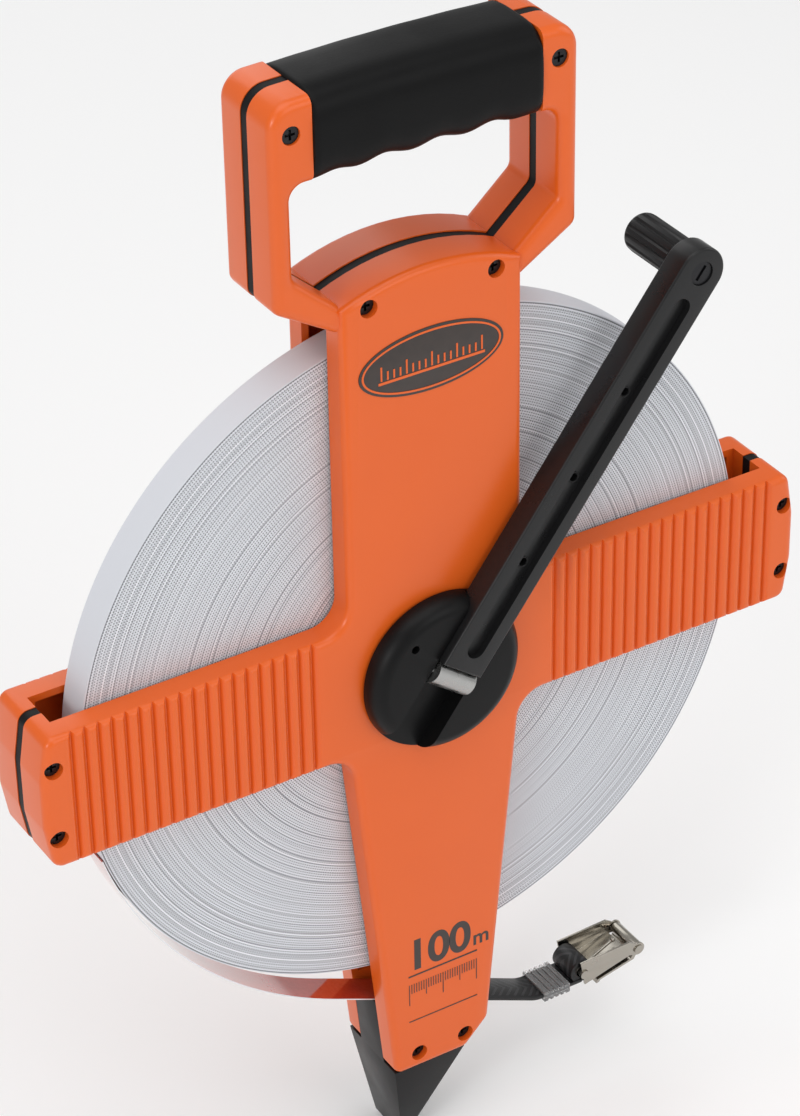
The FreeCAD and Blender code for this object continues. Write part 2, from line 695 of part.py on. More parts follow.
def crank_hub():
    """Black hub: domed disc in front, neck through the case and the planet carrier behind it."""
    body = new_body("crank_hub", y_turn(v.crank_angle))
    sketch = new_sketch(body, role="YZ_Plane")
    back = -v.carrier_back
    shoulder = -(v.case_half + v.hub_gap)
    face = -(v.case_half + v.hub_high)
    add_loop(sketch, [
        (back, v.axle_radius + v.run_gap),
        (back, v.hub_neck),
        (shoulder, v.hub_neck),
        (shoulder, v.hub_radius),
        (shoulder - 1.2, v.hub_radius),
        (face, v.hub_face, 0, (face + 2.0, v.hub_face + 3.0)),
        (face, v.axle_radius + v.run_gap),
    ])
    turn = body.newObject("PartDesign::Revolution", "hub_turn")
    turn.Profile = sketch
    turn.ReferenceAxis = (sketch, ["H_Axis"])
    turn.Angle = 360
    body.Tip = turn
    doc.recompute()
    groove = new_sketch(body, offset="Sizes.groove_floor")
    half = v.groove_wide / 2
    reach = v.hub_radius + 1
    add_loop(groove, [(-half, -reach), (half, -reach), (half, reach), (-half, reach)])
    pocket(body, groove, "Sizes.hub_high + 2", False)
    well = new_sketch(body, offset="Sizes.groove_floor - Sizes.bolt_head_high - 0.4")
    add_circle(well, (0, 0), "Sizes.bolt_head + Sizes.play")
    pocket(body, well, "Sizes.bolt_head_high + 2", False)
    pins = new_sketch(body, offset="Sizes.carrier_back - 1")
    for index in range(3):
        add_circle(pins, polar(v.planet_orbit, 120 * index), "Sizes.pin_radius")
    pocket(body, pins, "5", False)
    hinge = new_sketch(body, role="YZ_Plane", offset="-Sizes.hub_radius - 1")
    add_circle(hinge, (-v.crank_mid, 0), "Sizes.hinge_pin")
    pocket(body, hinge, "2 * Sizes.hub_radius + 2")
    index_hole = new_sketch(body, offset="Sizes.case_half + Sizes.hub_high - 2.5")
    add_circle(index_hole, polar(0.75 * v.hub_radius, 245), "Sizes.pin_radius")
    pocket(body, index_hole, "4", False)
    return body


def planet_pins():
    """Three steel pins pressed into the carrier."""
    front = -v.carrier_back - 3.9
    back = -(v.gear_front - v.gear_high) + 0.3
    pins = [y_rod(v.pin_radius, *polar(v.planet_orbit, 120 * index), front, back) for index in range(3)]
    return solid_node("planet_pins", Part.makeCompound(pins), y_turn(v.crank_angle))


def planet_gear(index):
    direction = v.crank_angle + 120 * index
    x, z = polar(v.planet_orbit, direction)
    turn = 3 * direction + 180 + 180 / v.planet_teeth
    return spur_gear("planet_gear_%d" % (index + 1), v.planet_teeth, "Sizes.pin_radius + Sizes.run_gap",
                     y_turn(turn, x, z))


def hinge_pin():
    """Steel pin across the hub's groove."""
    half = v.groove_wide / 2 + 6
    pin = rod(v.hinge_pin, Vector(-half, -v.crank_mid, 0), Vector(half, -v.crank_mid, 0))
    return solid_node("hinge_pin", pin, y_turn(v.crank_angle))


# ---- crank -----------------------------------------------------------------------------------


def crank_arm():
    """Folding arm with a long recess in its front."""
    body = new_body("crank_arm", y_turn(v.crank_angle))
    back = "(Sizes.crank_mid - Sizes.crank_thick / 2)"
    sketch = new_sketch(body, offset=back)
    half = v.crank_wide / 2
    far = v.crank_radius
    add_loop(sketch, [
        (half, v.crank_start),
        (half, far, 0),
        (-half, far, 0, (0, far + half)),
        (-half, v.crank_start),
    ])
    pad(body, sketch, "Sizes.crank_thick")
    bevel_face(body, -(v.crank_mid + v.crank_thick / 2), "Sizes.crank_bevel")
    channel = new_sketch(body, offset=back + " + Sizes.crank_floor")
    slot = v.crank_slot / 2
    low = v.crank_start + 9
    high = far - 2 * slot - 6
    add_loop(channel, [
        (slot, low), (slot, high), (-slot, high, 0, (0, high + slot)),
        (-slot, low), (slot, low, 0, (0, low - slot)),
    ])
    pocket(body, channel, "Sizes.crank_thick", False)
    bores = new_sketch(body, offset=back + " - 1")
    add_circle(bores, (0, far), "Sizes.knob_bolt")
    for share in (0.25, 0.5, 0.75):
        add_circle(bores, (0, low + share * (high - low)), "1.4")
    pocket(body, bores, "Sizes.crank_thick + 2", False)
    well = new_sketch(body, offset=back + " + Sizes.crank_thick - 2.2")
    add_circle(well, (0, far), "Sizes.knob_head + 0.2")
    pocket(body, well, "3", False)
    seat = new_sketch(body, role="YZ_Plane", offset="-Sizes.crank_wide / 2 - 1")
    add_circle(seat, (-v.crank_mid, 0), "Sizes.hinge_barrel + Sizes.play / 2")
    pocket(body, seat, "Sizes.crank_wide + 2")
    tang = new_sketch(body, role="XY_Plane")
    wide = v.tang_wide / 2
    front = -v.crank_mid - v.tang_thick / 2
    back_face = -v.crank_mid + v.tang_thick / 2
    add_loop(tang, [(-wide, front), (wide, front), (wide, back_face), (-wide, back_face)])
    pocket(body, tang, "Sizes.hinge_barrel + Sizes.tang_long")
    return body


def hinge_barrel():
    """Bright knuckle on the pin, with a flat tang moulded into the end of the arm."""
    half = v.barrel_long / 2
    mid = -v.crank_mid
    barrel = rod(v.hinge_barrel, Vector(-half, mid, 0), Vector(half, mid, 0))
    corner = Vector(-v.tang_wide / 2, mid - v.tang_thick / 2, 0)
    long = v.hinge_barrel + v.tang_long
    barrel = barrel.fuse(Part.makeBox(v.tang_wide, v.tang_thick, long, corner))
    barrel = barrel.cut(rod(v.hinge_pin + v.run_gap, Vector(-half - 1, mid, 0), Vector(half + 1, mid, 0)))
    return solid_node("hinge_barrel", barrel, y_turn(v.crank_angle))


def knob_bolt():
    """Screw that the knob turns on."""
    face = -(v.crank_mid + v.crank_thick / 2)
    seat = face + 2.2
    head = y_rod(v.knob_head, 0, v.crank_radius, seat - 1.6, seat)
    end = -(v.crank_mid - v.crank_thick / 2) + v.knob_long - 3
    bolt = head.fuse(y_rod(v.knob_bolt, 0, v.crank_radius, seat, end))
    slot = Part.makeBox(1.2, 0.9, 5.6, Vector(-0.6, seat - 1.7, v.crank_radius - 2.8))
    return solid_node("knob_bolt", bolt.cut(slot), y_turn(v.crank_angle))


def crank_knob():
    """Fluted knob with a plain rounded end."""
    x, z = polar(v.crank_radius, v.crank_angle)
    body = new_body("crank_knob", y_turn(v.crank_angle, x, z))
    start = "-(Sizes.play - Sizes.crank_mid + Sizes.crank_thick / 2)"
    sketch = new_sketch(body, offset=start)
    add_circle(sketch, (0, 0), "Sizes.knob_radius")
    pad(body, sketch, "Sizes.knob_long", True)
    end_y = -(v.crank_mid - v.crank_thick / 2) + v.play + v.knob_long
    bevel_face(body, end_y, "Sizes.knob_bevel")
    flutes = new_sketch(body, offset=start + " + 1")
    for index in range(int(v.knob_flutes)):
        place = polar(v.knob_radius + 0.25, 360 * index / v.knob_flutes)
        add_circle(flutes, place, "Sizes.flute_radius")
    pocket(body, flutes, "Sizes.knob_long - 4", True)
    bore = new_sketch(body, offset=start + " + 1")
    add_circle(bore, (0, 0), "Sizes.knob_bolt + Sizes.run_gap")
    pocket(body, bore, "Sizes.knob_long - 1.5", True)
    return body


# ---- drum and blade --------------------------------------------------------------------------


def drum_core():
    """Spool that the blade is wound on, a web and a hub turning on the bush."""
    body = new_body("drum_core")
    half = v.blade_width / 2
    sketch = new_sketch(body, role="YZ_Plane")
    hub_front = -(v.gear_front - v.gear_high)
    hub_back = v.slot_half - v.washer_thick
    inner = v.core_radius - v.tube_wall
    add_loop(sketch, [
        (hub_front, v.bush_radius),
        (hub_front, v.drum_hub),
        (-v.web_thick, v.drum_hub),
        (-v.web_thick, inner),
        (-half - v.rim_thick, inner),
        (-half - v.rim_thick, v.flange_rim),
        (-half, v.flange_rim),
        (-half, v.core_radius),
        (half, v.core_radius),
        (half, v.flange_rim),
        (half + v.rim_thick, v.flange_rim),
        (half + v.rim_thick, inner),
        (0, inner),
        (0, v.drum_hub),
        (hub_back, v.drum_hub),
        (hub_back, v.bush_radius),
    ])
    turn = body.newObject("PartDesign::Revolution", "drum_turn")
    turn.Profile = sketch
    turn.ReferenceAxis = (sketch, ["H_Axis"])
    turn.Angle = 360
    body.Tip = turn
    doc.recompute()
    return body


def drum_bush():
    """Plain bush pressed into the drum, running on the axle."""
    body = new_body("drum_bush")
    sketch = new_sketch(body, offset="-(Sizes.slot_half - Sizes.washer_thick)")
    add_circle(sketch, (0, 0), "Sizes.bush_radius")
    add_circle(sketch, (0, 0), "Sizes.axle_radius + Sizes.run_gap")
    pad(body, sketch, "Sizes.slot_half - Sizes.washer_thick + Sizes.gear_front - Sizes.gear_high")
    return body


def tape_coil():
    """The wound blade."""
    body = new_body("tape_coil")
    sketch = new_sketch(body, offset="-Sizes.blade_width / 2")
    add_circle(sketch, (0, 0), "Sizes.coil_radius")
    add_circle(sketch, (0, 0), "Sizes.core_radius")
    pad(body, sketch, "Sizes.blade_width")
    return body


def tail_turn():
    """Centre and radius of the bend that leaves the coil and meets the straight run."""
    slope = math.radians(v.tail_slope)
    away = Vector(-math.sin(slope), -math.cos(slope), 0)
    along = Vector(math.cos(slope), -math.sin(slope), 0)
    join = away * v.tail_offset + along * v.tail_join
    coil = v.coil_radius + v.tail_gap + v.blade_thick / 2
    bend = (join.dot(join) - coil ** 2) / (2 * (v.tail_offset - coil))
    centre = join - away * bend
    return centre, bend, join


def tape_tail():
    """The free end of the blade: one bend off the coil, then a straight run."""
    centre, bend, join = tail_turn()
    half = v.blade_width / 2
    thick = v.blade_thick / 2
    start = centre * (-1 / centre.Length)
    stop = v.leader_from - v.blade_thick / 5
    end = Vector(stop, tail_height(stop), 0)
    out = (join - centre).normalize()
    first = math.atan2(start.y, start.x)
    last = math.atan2(out.y, out.x)
    middle = (first + last) / 2
    middle_way = Vector(math.cos(middle), math.sin(middle), 0)
    lines = []
    for side in (-1, 1):
        radius = bend + side * thick
        curve = Part.Arc(centre + start * radius, centre + middle_way * radius, centre + out * radius)
        lines.append((curve.toShape(), centre + start * radius, centre + out * radius, end + out * side * thick))
    inner, outer = lines
    wire = [
        inner[0], Part.LineSegment(inner[2], inner[3]).toShape(),
        Part.LineSegment(inner[3], outer[3]).toShape(), Part.LineSegment(outer[3], outer[2]).toShape(),
        outer[0], Part.LineSegment(outer[1], inner[1]).toShape(),
    ]
    face = Part.Face(Part.Wire(Part.__sortEdges__(wire)))
    shape = face.extrude(Vector(0, 0, v.blade_width))
    shape.rotate(Vector(), Vector(1, 0, 0), 90)
    shape.translate(Vector(0, half, 0))
    return solid_node("tape_tail", shape)


def leader_strap():
    """Moulded leader: a strap through the foot, then a rolled loop round the hook's pin."""
    half = v.blade_width / 2
    thick = v.leader_thick / 2
    body = new_body("leader_strap")
    sketch = new_sketch(body, offset="-Sizes.blade_width / 2")
    loop_low = v.loop_z - v.loop_radius
    start = v.leader_from
    knee = v.leader_knee
    settle = v.clamp_from - 2.7
    top = [
        (start, tail_height(start) + thick),
        (knee, tail_height(knee) + thick, 30.0),
        (settle, loop_low + 2 * thick, 12.0),
        (v.loop_x, loop_low + 2 * thick),
    ]
    low = [
        (v.loop_x, loop_low),
        (settle, loop_low, 12.0),
        (knee, tail_height(knee) - thick, 30.0),
        (start, tail_height(start) - thick),
    ]
    add_loop(sketch, top + low)
    pad(body, sketch, "Sizes.blade_width")
    roll_sketch = new_sketch(body, offset="-Sizes.blade_width / 2 + 0.4")
    add_circle(roll_sketch, (v.loop_x, v.loop_z), "Sizes.loop_radius")
    pad(body, roll_sketch, "Sizes.blade_width - 0.8")
    bore = new_sketch(body, offset="-Sizes.blade_width / 2 - 1")
    add_circle(bore, (v.loop_x, v.loop_z), "Sizes.hook_pin + Sizes.play")
    pocket(body, bore, "Sizes.blade_width + 2")
    return body


def leader_clamp():
    """Clear crimp that closes the leader on itself, with ribs across it."""
    half = v.blade_width / 2 + 0.9
    low = v.loop_z - v.loop_radius
    strap = v.leader_thick
    base = low + strap / 2 - v.clamp_thick / 2
    wall = (v.clamp_thick - strap) / 2
    x0 = v.clamp_from
    shape = Part.makeBox(v.clamp_long, 2 * half, v.clamp_thick, Vector(x0, -half, base))
    pitch = v.clamp_long / v.clamp_ribs
    for index in range(int(v.clamp_ribs) - 1):
        x = x0 + pitch * (index + 1) - pitch * 0.22
        for level in (base - 0.1, base + v.clamp_thick - wall * 0.55):
            corner = Vector(x, -half - 1, level)
            shape = shape.cut(Part.makeBox(pitch * 0.44, 2 * half + 2, wall * 0.55 + 0.1, corner))
    tunnel = Part.makeBox(v.clamp_long + 2, v.blade_width, strap, Vector(x0 - 1, -v.blade_width / 2, low))
    return solid_node("leader_clamp", shape.cut(tunnel))


# ---- end hook --------------------------------------------------------------------------------


def hook_channel():
    """Plated channel: two tapered cheeks and a floor between them."""
    outer = v.hook_half
    inner = outer - v.hook_sheet
    near = v.loop_x - 1.6
    boss = 2.6
    cheek = [
        (near, v.loop_z + 5.4), (near + 1.9, v.loop_z - 4.9),
        (v.far_x - 4, v.far_z - boss + 1.2), (v.far_x - 1, v.far_z - boss + 0.3),
        (v.far_x - 1, v.far_z + boss), (v.far_x - 4, v.far_z + boss + 2.0),
    ]
    shape = None
    for front, back in ((-outer, -inner), (inner, outer)):
        plate = prism(cheek, front, back)
        plate = plate.fuse(y_rod(boss, v.far_x, v.far_z, front, back))
        plate = plate.cut(y_rod(v.far_pin, v.far_x, v.far_z, front - 1, back + 1))
        plate = plate.cut(y_rod(v.hook_pin, v.loop_x, v.loop_z, front - 1, back + 1))
        shape = plate if shape is None else shape.fuse(plate)
    start = v.loop_x + v.loop_radius + v.play + 0.3
    rise = (v.far_z - boss + 1.2 - (v.loop_z - 4.9)) / (v.far_x - 4 - (near + 1.9))
    low = v.loop_z - 4.9 + rise * (start - near - 1.9)
    end = v.far_x - v.far_tube - 1.2
    high = v.loop_z - 4.9 + rise * (end - near - 1.9)
    floor = prism([(start, low), (end, high), (end, high + v.hook_sheet), (start, low + v.hook_sheet)],
                  -inner, inner)
    return solid_node("hook_channel", shape.fuse(floor))


def hook_pins():
    """Near pin through the leader's loop and far rivet through the claw."""
    rivet = 0.5
    reach = v.hook_half + rivet
    near = y_rod(v.hook_pin, v.loop_x, v.loop_z, -reach, reach)
    far = y_rod(v.far_pin, v.far_x, v.far_z, -reach, reach)
    for side in (-1, 1):
        start = v.hook_half if side > 0 else -reach
        far = far.fuse(y_rod(v.far_pin * 1.6, v.far_x, v.far_z, start, start + rivet))
    return solid_node("hook_pins", Part.makeCompound([near, far]))


def hook_wire():
    """Thin wire with a ball end, standing on the channel's floor."""
    first = Vector(v.loop_x + 9.0, 0, v.loop_z - 1.39)
    last = Vector(v.far_x - 6.0, 0, v.far_z + 1.4)
    wire = rod(0.5, first, last)
    ball = Part.makeSphere(0.9, last)
    return solid_node("hook_wire", wire.fuse(ball))


def hook_claw():
    """Claw plate that swings on the far rivet, under the channel."""
    half = v.hook_half - v.hook_sheet - v.play
    tube = y_rod(v.far_tube, v.far_x, v.far_z, -half, half)
    top = v.far_z - v.far_tube + 0.3
    start = (v.far_x + 0.6, top)
    plate = [
        start, (v.far_x - 1.6, top - 0.3), (v.far_x - 2.4, v.far_z - 4.3), (v.far_x - 17.0, v.far_z - 7.6),
        (v.far_x - 17.6, v.far_z - 9.2), (v.far_x - 16.4, v.far_z - 9.0), (v.far_x - 15.8, v.far_z - 8.2),
        (v.far_x - 1.2, v.far_z - 5.0),
    ]
    claw = tube.fuse(prism(plate, -half, half))
    claw = claw.cut(y_rod(v.far_pin + v.run_gap, v.far_x, v.far_z, -half - 1, half + 1))
    return solid_node("hook_claw", claw)


# ---- assembly --------------------------------------------------------------------------------

nodes = [
    case_shell("front_shell", FRONT),
    case_shell("rear_shell", REAR),
    handle_core(),
    grip_sleeve(),
    seam_plate("arm_spacer_left", [end_outline(-1, v.core_inset)], CASE_SCREWS[0:2]),
    seam_plate("arm_spacer_right", [end_outline(1, v.core_inset)], CASE_SCREWS[2:4]),
    ground_spike(),
    case_screws(),
    ring_gear(),
    ring_screws(),
    axle_bolt(),
    axle_nut(),
    washer("rear_washer", "Sizes.drum_hub", "-(Sizes.slot_half - Sizes.washer_thick)"),
    tape_tail(),
    leader_strap(),
    leader_clamp(),
    crank_hub(),
    planet_pins(),
    hinge_pin(),
    planet_gear(0),
    planet_gear(1),
    planet_gear(2),
    crank_arm(),
    hinge_barrel(),
    knob_bolt(),
    crank_knob(),
    spur_gear("sun_gear", v.sun_teeth, "Sizes.bush_radius", Placement()),
    drum_core(),
    drum_bush(),
    tape_coil(),
    hook_channel(),
    hook_pins(),
    hook_wire(),
    hook_claw(),
]
doc.recompute()

for item in doc.Objects:
    if "Invalid" in item.State or "Error" in item.State:
        raise RuntimeError("%s did not build: %s" % (item.Name, item.State))
os.makedirs("parts", exist_ok=True)
for node in nodes:
    if node.Shape.isNull() or not node.Shape.isValid() or not node.Shape.Solids:
        raise RuntimeError("%s has no valid shape" % node.Label)
    node.Shape.exportStep("parts/%s.step" % node.Label)
    box = node.Shape.BoundBox
    print("%-18s %2d solids %10.1f mm3  x %7.1f %7.1f  y %6.1f %6.1f  z %7.1f %7.1f" % (
        node.Label, len(node.Shape.Solids), node.Shape.Volume,
        box.XMin, box.XMax, box.YMin, box.YMax, box.ZMin, box.ZMax))
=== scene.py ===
import bpy
import bmesh
import math
import random
from mathutils import Matrix, Vector


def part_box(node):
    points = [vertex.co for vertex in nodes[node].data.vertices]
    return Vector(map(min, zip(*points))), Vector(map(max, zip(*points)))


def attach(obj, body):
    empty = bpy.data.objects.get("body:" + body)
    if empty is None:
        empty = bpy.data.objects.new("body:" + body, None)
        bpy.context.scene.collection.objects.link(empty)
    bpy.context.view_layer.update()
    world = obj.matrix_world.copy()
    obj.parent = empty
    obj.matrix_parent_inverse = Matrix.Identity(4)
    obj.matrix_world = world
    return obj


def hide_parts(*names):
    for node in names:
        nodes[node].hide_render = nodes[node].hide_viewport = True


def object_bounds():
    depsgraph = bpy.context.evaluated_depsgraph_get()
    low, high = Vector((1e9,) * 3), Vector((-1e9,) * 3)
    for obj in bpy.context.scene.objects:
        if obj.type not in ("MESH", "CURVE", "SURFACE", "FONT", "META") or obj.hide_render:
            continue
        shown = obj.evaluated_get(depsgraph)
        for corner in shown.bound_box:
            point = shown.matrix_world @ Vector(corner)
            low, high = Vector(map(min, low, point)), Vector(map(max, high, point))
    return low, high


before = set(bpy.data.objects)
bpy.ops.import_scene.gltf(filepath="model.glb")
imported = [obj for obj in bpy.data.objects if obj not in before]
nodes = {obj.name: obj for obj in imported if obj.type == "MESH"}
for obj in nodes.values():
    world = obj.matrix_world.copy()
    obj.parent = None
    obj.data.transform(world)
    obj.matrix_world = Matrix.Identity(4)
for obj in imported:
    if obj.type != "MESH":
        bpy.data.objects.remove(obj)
cad_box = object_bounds()
MM = 0.001

# ---- Camera -----------------------------------------------------------------------------------
# The reel is seen from its front left and from above, standing on the tip of its spike. The lens
# is a long one, so the uprights stay nearly parallel.

TARGET = Vector((-3.48, 0.0, 34.04)) * MM
AZIMUTH = math.radians(-31.09)
ELEVATION = math.radians(33.35)
ROLL = math.radians(-1.08)
DISTANCE = 1205.2 * MM
LENS = 119.47
SENSOR = 36.0

back = Vector((
    math.sin(AZIMUTH) * math.cos(ELEVATION),
    -math.cos(AZIMUTH) * math.cos(ELEVATION),
    math.sin(ELEVATION),
))
turn = (-back).to_track_quat("-Z", "Y").to_matrix() @ Matrix.Rotation(ROLL, 3, "Z")
bpy.ops.object.camera_add(location=TARGET + back * DISTANCE, rotation=turn.to_euler())
camera = bpy.context.object
camera.name = "camera"
camera.data.lens = LENS
camera.data.sensor_width = SENSOR
bpy.context.scene.camera = camera
bpy.context.scene.view_settings.view_transform = "Standard"

# ---- Floor and lights -------------------------------------------------------------------------
# A plain pale floor a little under the spike's tip, and soft boxes: a wide one overhead, one on
# each side, one in front and one behind, and a small one on the left that rakes across the ribs.

FLOOR_LEVEL = cad_box[0][2] - 1.0 * MM
FLOOR_SIZE = 12.0
AMBIENT = 0.46

bpy.ops.mesh.primitive_plane_add(size=FLOOR_SIZE, location=(0, 0, FLOOR_LEVEL))
floor = bpy.context.object
floor.name = "floor"
floor_paint = bpy.data.materials.new("studio_paper")
floor_paint.use_nodes = True
paper = floor_paint.node_tree.nodes["Principled BSDF"]
paper.inputs["Base Color"].default_value = (0.95, 0.95, 0.95, 1)
paper.inputs["Roughness"].default_value = 0.9
floor.data.materials.append(floor_paint)

SOFT_BOXES = [
    # name, place, size, power
    ("light_overhead", (-0.2, -0.3, 1.9), 1.8, 16.5),
    ("light_left", (-1.7, -0.9, 0.7), 1.3, 3.6),
    ("light_front", (0.6, -2.0, 1.1), 1.4, 9.4),
    ("light_right", (1.7, -0.5, 0.9), 1.2, 6.0),
    ("light_rear", (0.2, 1.8, 1.1), 1.4, 7.0),
    ("light_edge", (-1.5, -0.75, 0.5), 0.35, 4.6),
]
for name, place, size, power in SOFT_BOXES:
    aim = (-Vector(place)).to_track_quat("-Z", "Y")
    bpy.ops.object.light_add(type="AREA", location=place, rotation=aim.to_euler())
    lamp = bpy.context.object
    lamp.name = name
    lamp.data.shape = "SQUARE"
    lamp.data.size = size
    lamp.data.energy = power
world = bpy.data.worlds.new("studio")
bpy.context.scene.world = world
world.use_nodes = True
backdrop = world.node_tree.nodes["Background"]
backdrop.inputs["Color"].default_value = (1, 1, 1, 1)
backdrop.inputs["Strength"].default_value = AMBIENT

# ---- Case halves ------------------------------------------------------------------------------
# Two moulded shells of satin orange plastic, screwed together round the blade. Each carries half of
# the column, of the two ribbed arms and of the handle. The outlines are drawn as flat curves with a
# rounded edge, joined, hollowed and then parted along the seam.

CASE_HALF = 17.0
CASE_EDGE = 2.6
SEAM_HALF = 2.0
SLOT_HALF = 7.75
SKIN = 2.6
COLUMN_HALF = 33.0
COLUMN_TOP = 142.5
TOP_ARCH = 149.5
SLOT_TOP = 134.0
ARM_END = 145.0
ARM_CHORD = 142.0
ARM_BOW = ARM_CHORD + 2.6
ARM_BOW_HALF = 9.0
ARM_BOW_ROUND = 12.0
ARM_HALF = 25.0
CROSS_ROUND = 10.0
CORNER_ROUND = 4.0
SLOT_END = 136.0
FOOT_LEVEL = -159.0
FOOT_BASE = -168.7
FOOT_HALF = 19.6
FOOT_LEFT = -18.7
FOOT_RIGHT = 10.0
FOOT_ROUND = 3.0
HOLLOW_LOW = -138.0
HOLLOW_ROUND = 8.0
HANDLE_FACE = 15.5
HANDLE_EDGE = 3.2
HANDLE_HALF = 54.5
HANDLE_LOW = 147.0
HANDLE_TOP = 216.0
HANDLE_BOW = HANDLE_TOP + 1.5
HANDLE_BOW_ROUND = 400.0
HANDLE_ROUND = 8.5
HANDLE_TOE_X = COLUMN_HALF - 5.0
HANDLE_TOE_Z = SLOT_TOP - 3.0
OPENING_HALF = 47.5
OPENING_LOW = 157.0
OPENING_TOP = 188.2
OPENING_ROUND = 5.0
OPENING_KNEE = 3.5
TOE_HALF = 31.0
TOE_SINK = 4.0
RIB_COUNT = 18
RIB_FIRST = 46.5
RIB_PITCH = 4.8
RIB_DEEP = 1.85
RIB_MOUTH = 2.3
RIB_FLOOR = 0.15
RIB_CUTS = 6
RIB_HALF = 26.0
GRIP_LEFT = -40.0
GRIP_RIGHT = 41.0
SCREWS = [(side * 140.0, level * 13.3) for side in (-1, 1) for level in (-1, 1)]
SCREWS += [(side * 23.1, 141.0) for side in (-1, 1)]
SCREWS += [(side * 9.5, -162.0) for side in (-1, 1)]
SCREWS += [(side * 47.2, 205.7) for side in (-1, 1)]
WELL_RADIUS = 3.1
WELL_DEEP = 4.4
HUB_BORE = 21.0
NUT_WELL = 7.4
NUT_DEEP = 5.0
ARC_STEP = 6.0
ARC_CUTS = 12
ROUND_CUTS = 3


def only(piece):
    """Selects one piece and nothing else."""
    bpy.ops.object.select_all(action="DESELECT")
    bpy.context.view_layer.objects.active = piece
    piece.select_set(True)


def settle(piece, name):
    """Applies the piece's place, so that its object sits at the origin, and names it."""
    only(piece)
    bpy.ops.object.transform_apply(location=True, rotation=True, scale=True)
    piece.name = name
    piece.data.name = name
    return piece


def arc(centre, spoke, sweep, least):
    """Points on an arc that starts at a spoke from its centre, with both ends."""
    cuts = max(least, int(abs(sweep) / math.radians(ARC_STEP)))
    points = []
    for cut in range(cuts + 1):
        turned = spoke.copy()
        turned.rotate(Matrix.Rotation(-sweep * cut / cuts, 2))
        points.append(centre + turned)
    return points


def outline(corners):
    """Points of a closed outline. A corner is (x, z), (x, z, radius) for a round corner, or
    (x, z, 0, via) for an arc that comes to it through the point via."""
    points = []
    count = len(corners)
    for index, corner in enumerate(corners):
        here = Vector(corner[:2])
        before = Vector(corners[index - 1][:2])
        after = Vector(corners[(index + 1) % count][:2])
        if len(corner) == 4:
            middle = Vector(corner[3])
            chord = here - before
            rise = (middle - (before + here) / 2).length
            radius = (chord.length_squared / 4 + rise * rise) / (2 * rise)
            way = (middle - (before + here) / 2).normalized()
            centre = middle - way * radius
            sweep = (before - centre).angle_signed(here - centre)
            points += arc(centre, before - centre, sweep, ARC_CUTS)[1:-1]
            points.append(here)
        elif len(corner) == 3 and corner[2] > 0:
            into = (before - here).normalized()
            out = (after - here).normalized()
            half = into.angle(out) / 2
            reach = corner[2] / math.tan(half)
            centre = here + (into + out).normalized() * corner[2] / math.sin(half)
            first = here + into * reach - centre
            last = here + out * reach - centre
            points += arc(centre, first, first.angle_signed(last), ROUND_CUTS)
        else:
            points.append(here)
    return points


def mend(piece, gap=0.0, flat=0.0, outwards=False):
    """Welds points closer than a gap in metres, merges faces that are flat to an angle in degrees
    and turns the normals outwards. Each is done only if it is asked for."""
    only(piece)
    bpy.ops.object.mode_set(mode="EDIT")
    bpy.ops.mesh.select_all(action="SELECT")
    if gap:
        bpy.ops.mesh.remove_doubles(threshold=gap)
    if flat:
        bpy.ops.mesh.dissolve_limited(angle_limit=math.radians(flat))
    if outwards:
        bpy.ops.mesh.normals_make_consistent(inside=False)
    bpy.ops.object.mode_set(mode="OBJECT")


def face_outwards(piece):
    """Turns a closed piece's faces over if it is inside out."""
    check = bmesh.new()
    check.from_mesh(piece.data)
    if check.calc_volume(signed=True) < 0:
        bmesh.ops.reverse_faces(check, faces=check.faces)
        check.to_mesh(piece.data)
    check.free()


def slab(name, loops, front, rear, edge=0.0, rounds=3, inset=0.0):
    """A plate between two depths, from closed outlines in x and z, with rounded edges all round.
    With an inset, every outline is drawn in by that much."""
    curve = bpy.data.curves.new(name, "CURVE")
    curve.dimensions = "2D"
    curve.fill_mode = "BOTH"
    curve.extrude = ((rear - front) / 2 - edge) * MM
    curve.bevel_depth = edge * MM
    curve.bevel_resolution = rounds
    curve.offset = -(edge + inset) * MM
    for loop in loops:
        spline = curve.splines.new("POLY")
        spline.points.add(len(loop) - 1)
        for place, point in zip(spline.points, loop):
            place.co = (point[0] * MM, point[1] * MM, 0, 1)
        spline.use_cyclic_u = True
    plate = bpy.data.objects.new(name, curve)
    bpy.context.scene.collection.objects.link(plate)
    only(plate)
    bpy.ops.object.convert(target="MESH")
    plate = bpy.context.object
    plate.rotation_euler = (math.radians(90), 0, 0)
    plate.location = (0, (front + rear) / 2 * MM, 0)
    settle(plate, name)
    mend(plate, gap=1e-6, outwards=True)
    face_outwards(plate)
    return plate


def carve(piece, tool, way="DIFFERENCE"):
    """Joins, cuts or crosses a piece with a tool by an exact boolean, and removes the tool."""
    only(piece)
    change = piece.modifiers.new("carve", "BOOLEAN")
    change.operation = way
    change.solver = "EXACT"
    change.object = tool
    bpy.ops.object.modifier_apply(modifier=change.name)
    bpy.data.objects.remove(tool)


def block(low, high):
    """A box between two corners, as a cutting tool."""
    low, high = Vector(low) * MM, Vector(high) * MM
    bpy.ops.object.select_all(action="DESELECT")
    bpy.ops.mesh.primitive_cube_add(size=1.0, location=(low + high) / 2, scale=high - low)
    return settle(bpy.context.object, "tool")


def bore(radius, x, z, front, rear, sides=32):
    """A round tool along the reel's axis."""
    middle = Vector((x, (front + rear) / 2, z)) * MM
    bpy.ops.object.select_all(action="DESELECT")
    bpy.ops.mesh.primitive_cylinder_add(
        vertices=sides, radius=radius * MM, depth=(rear - front) * MM,
        location=middle, rotation=(math.radians(90), 0, 0),
    )
    return settle(bpy.context.object, "tool")


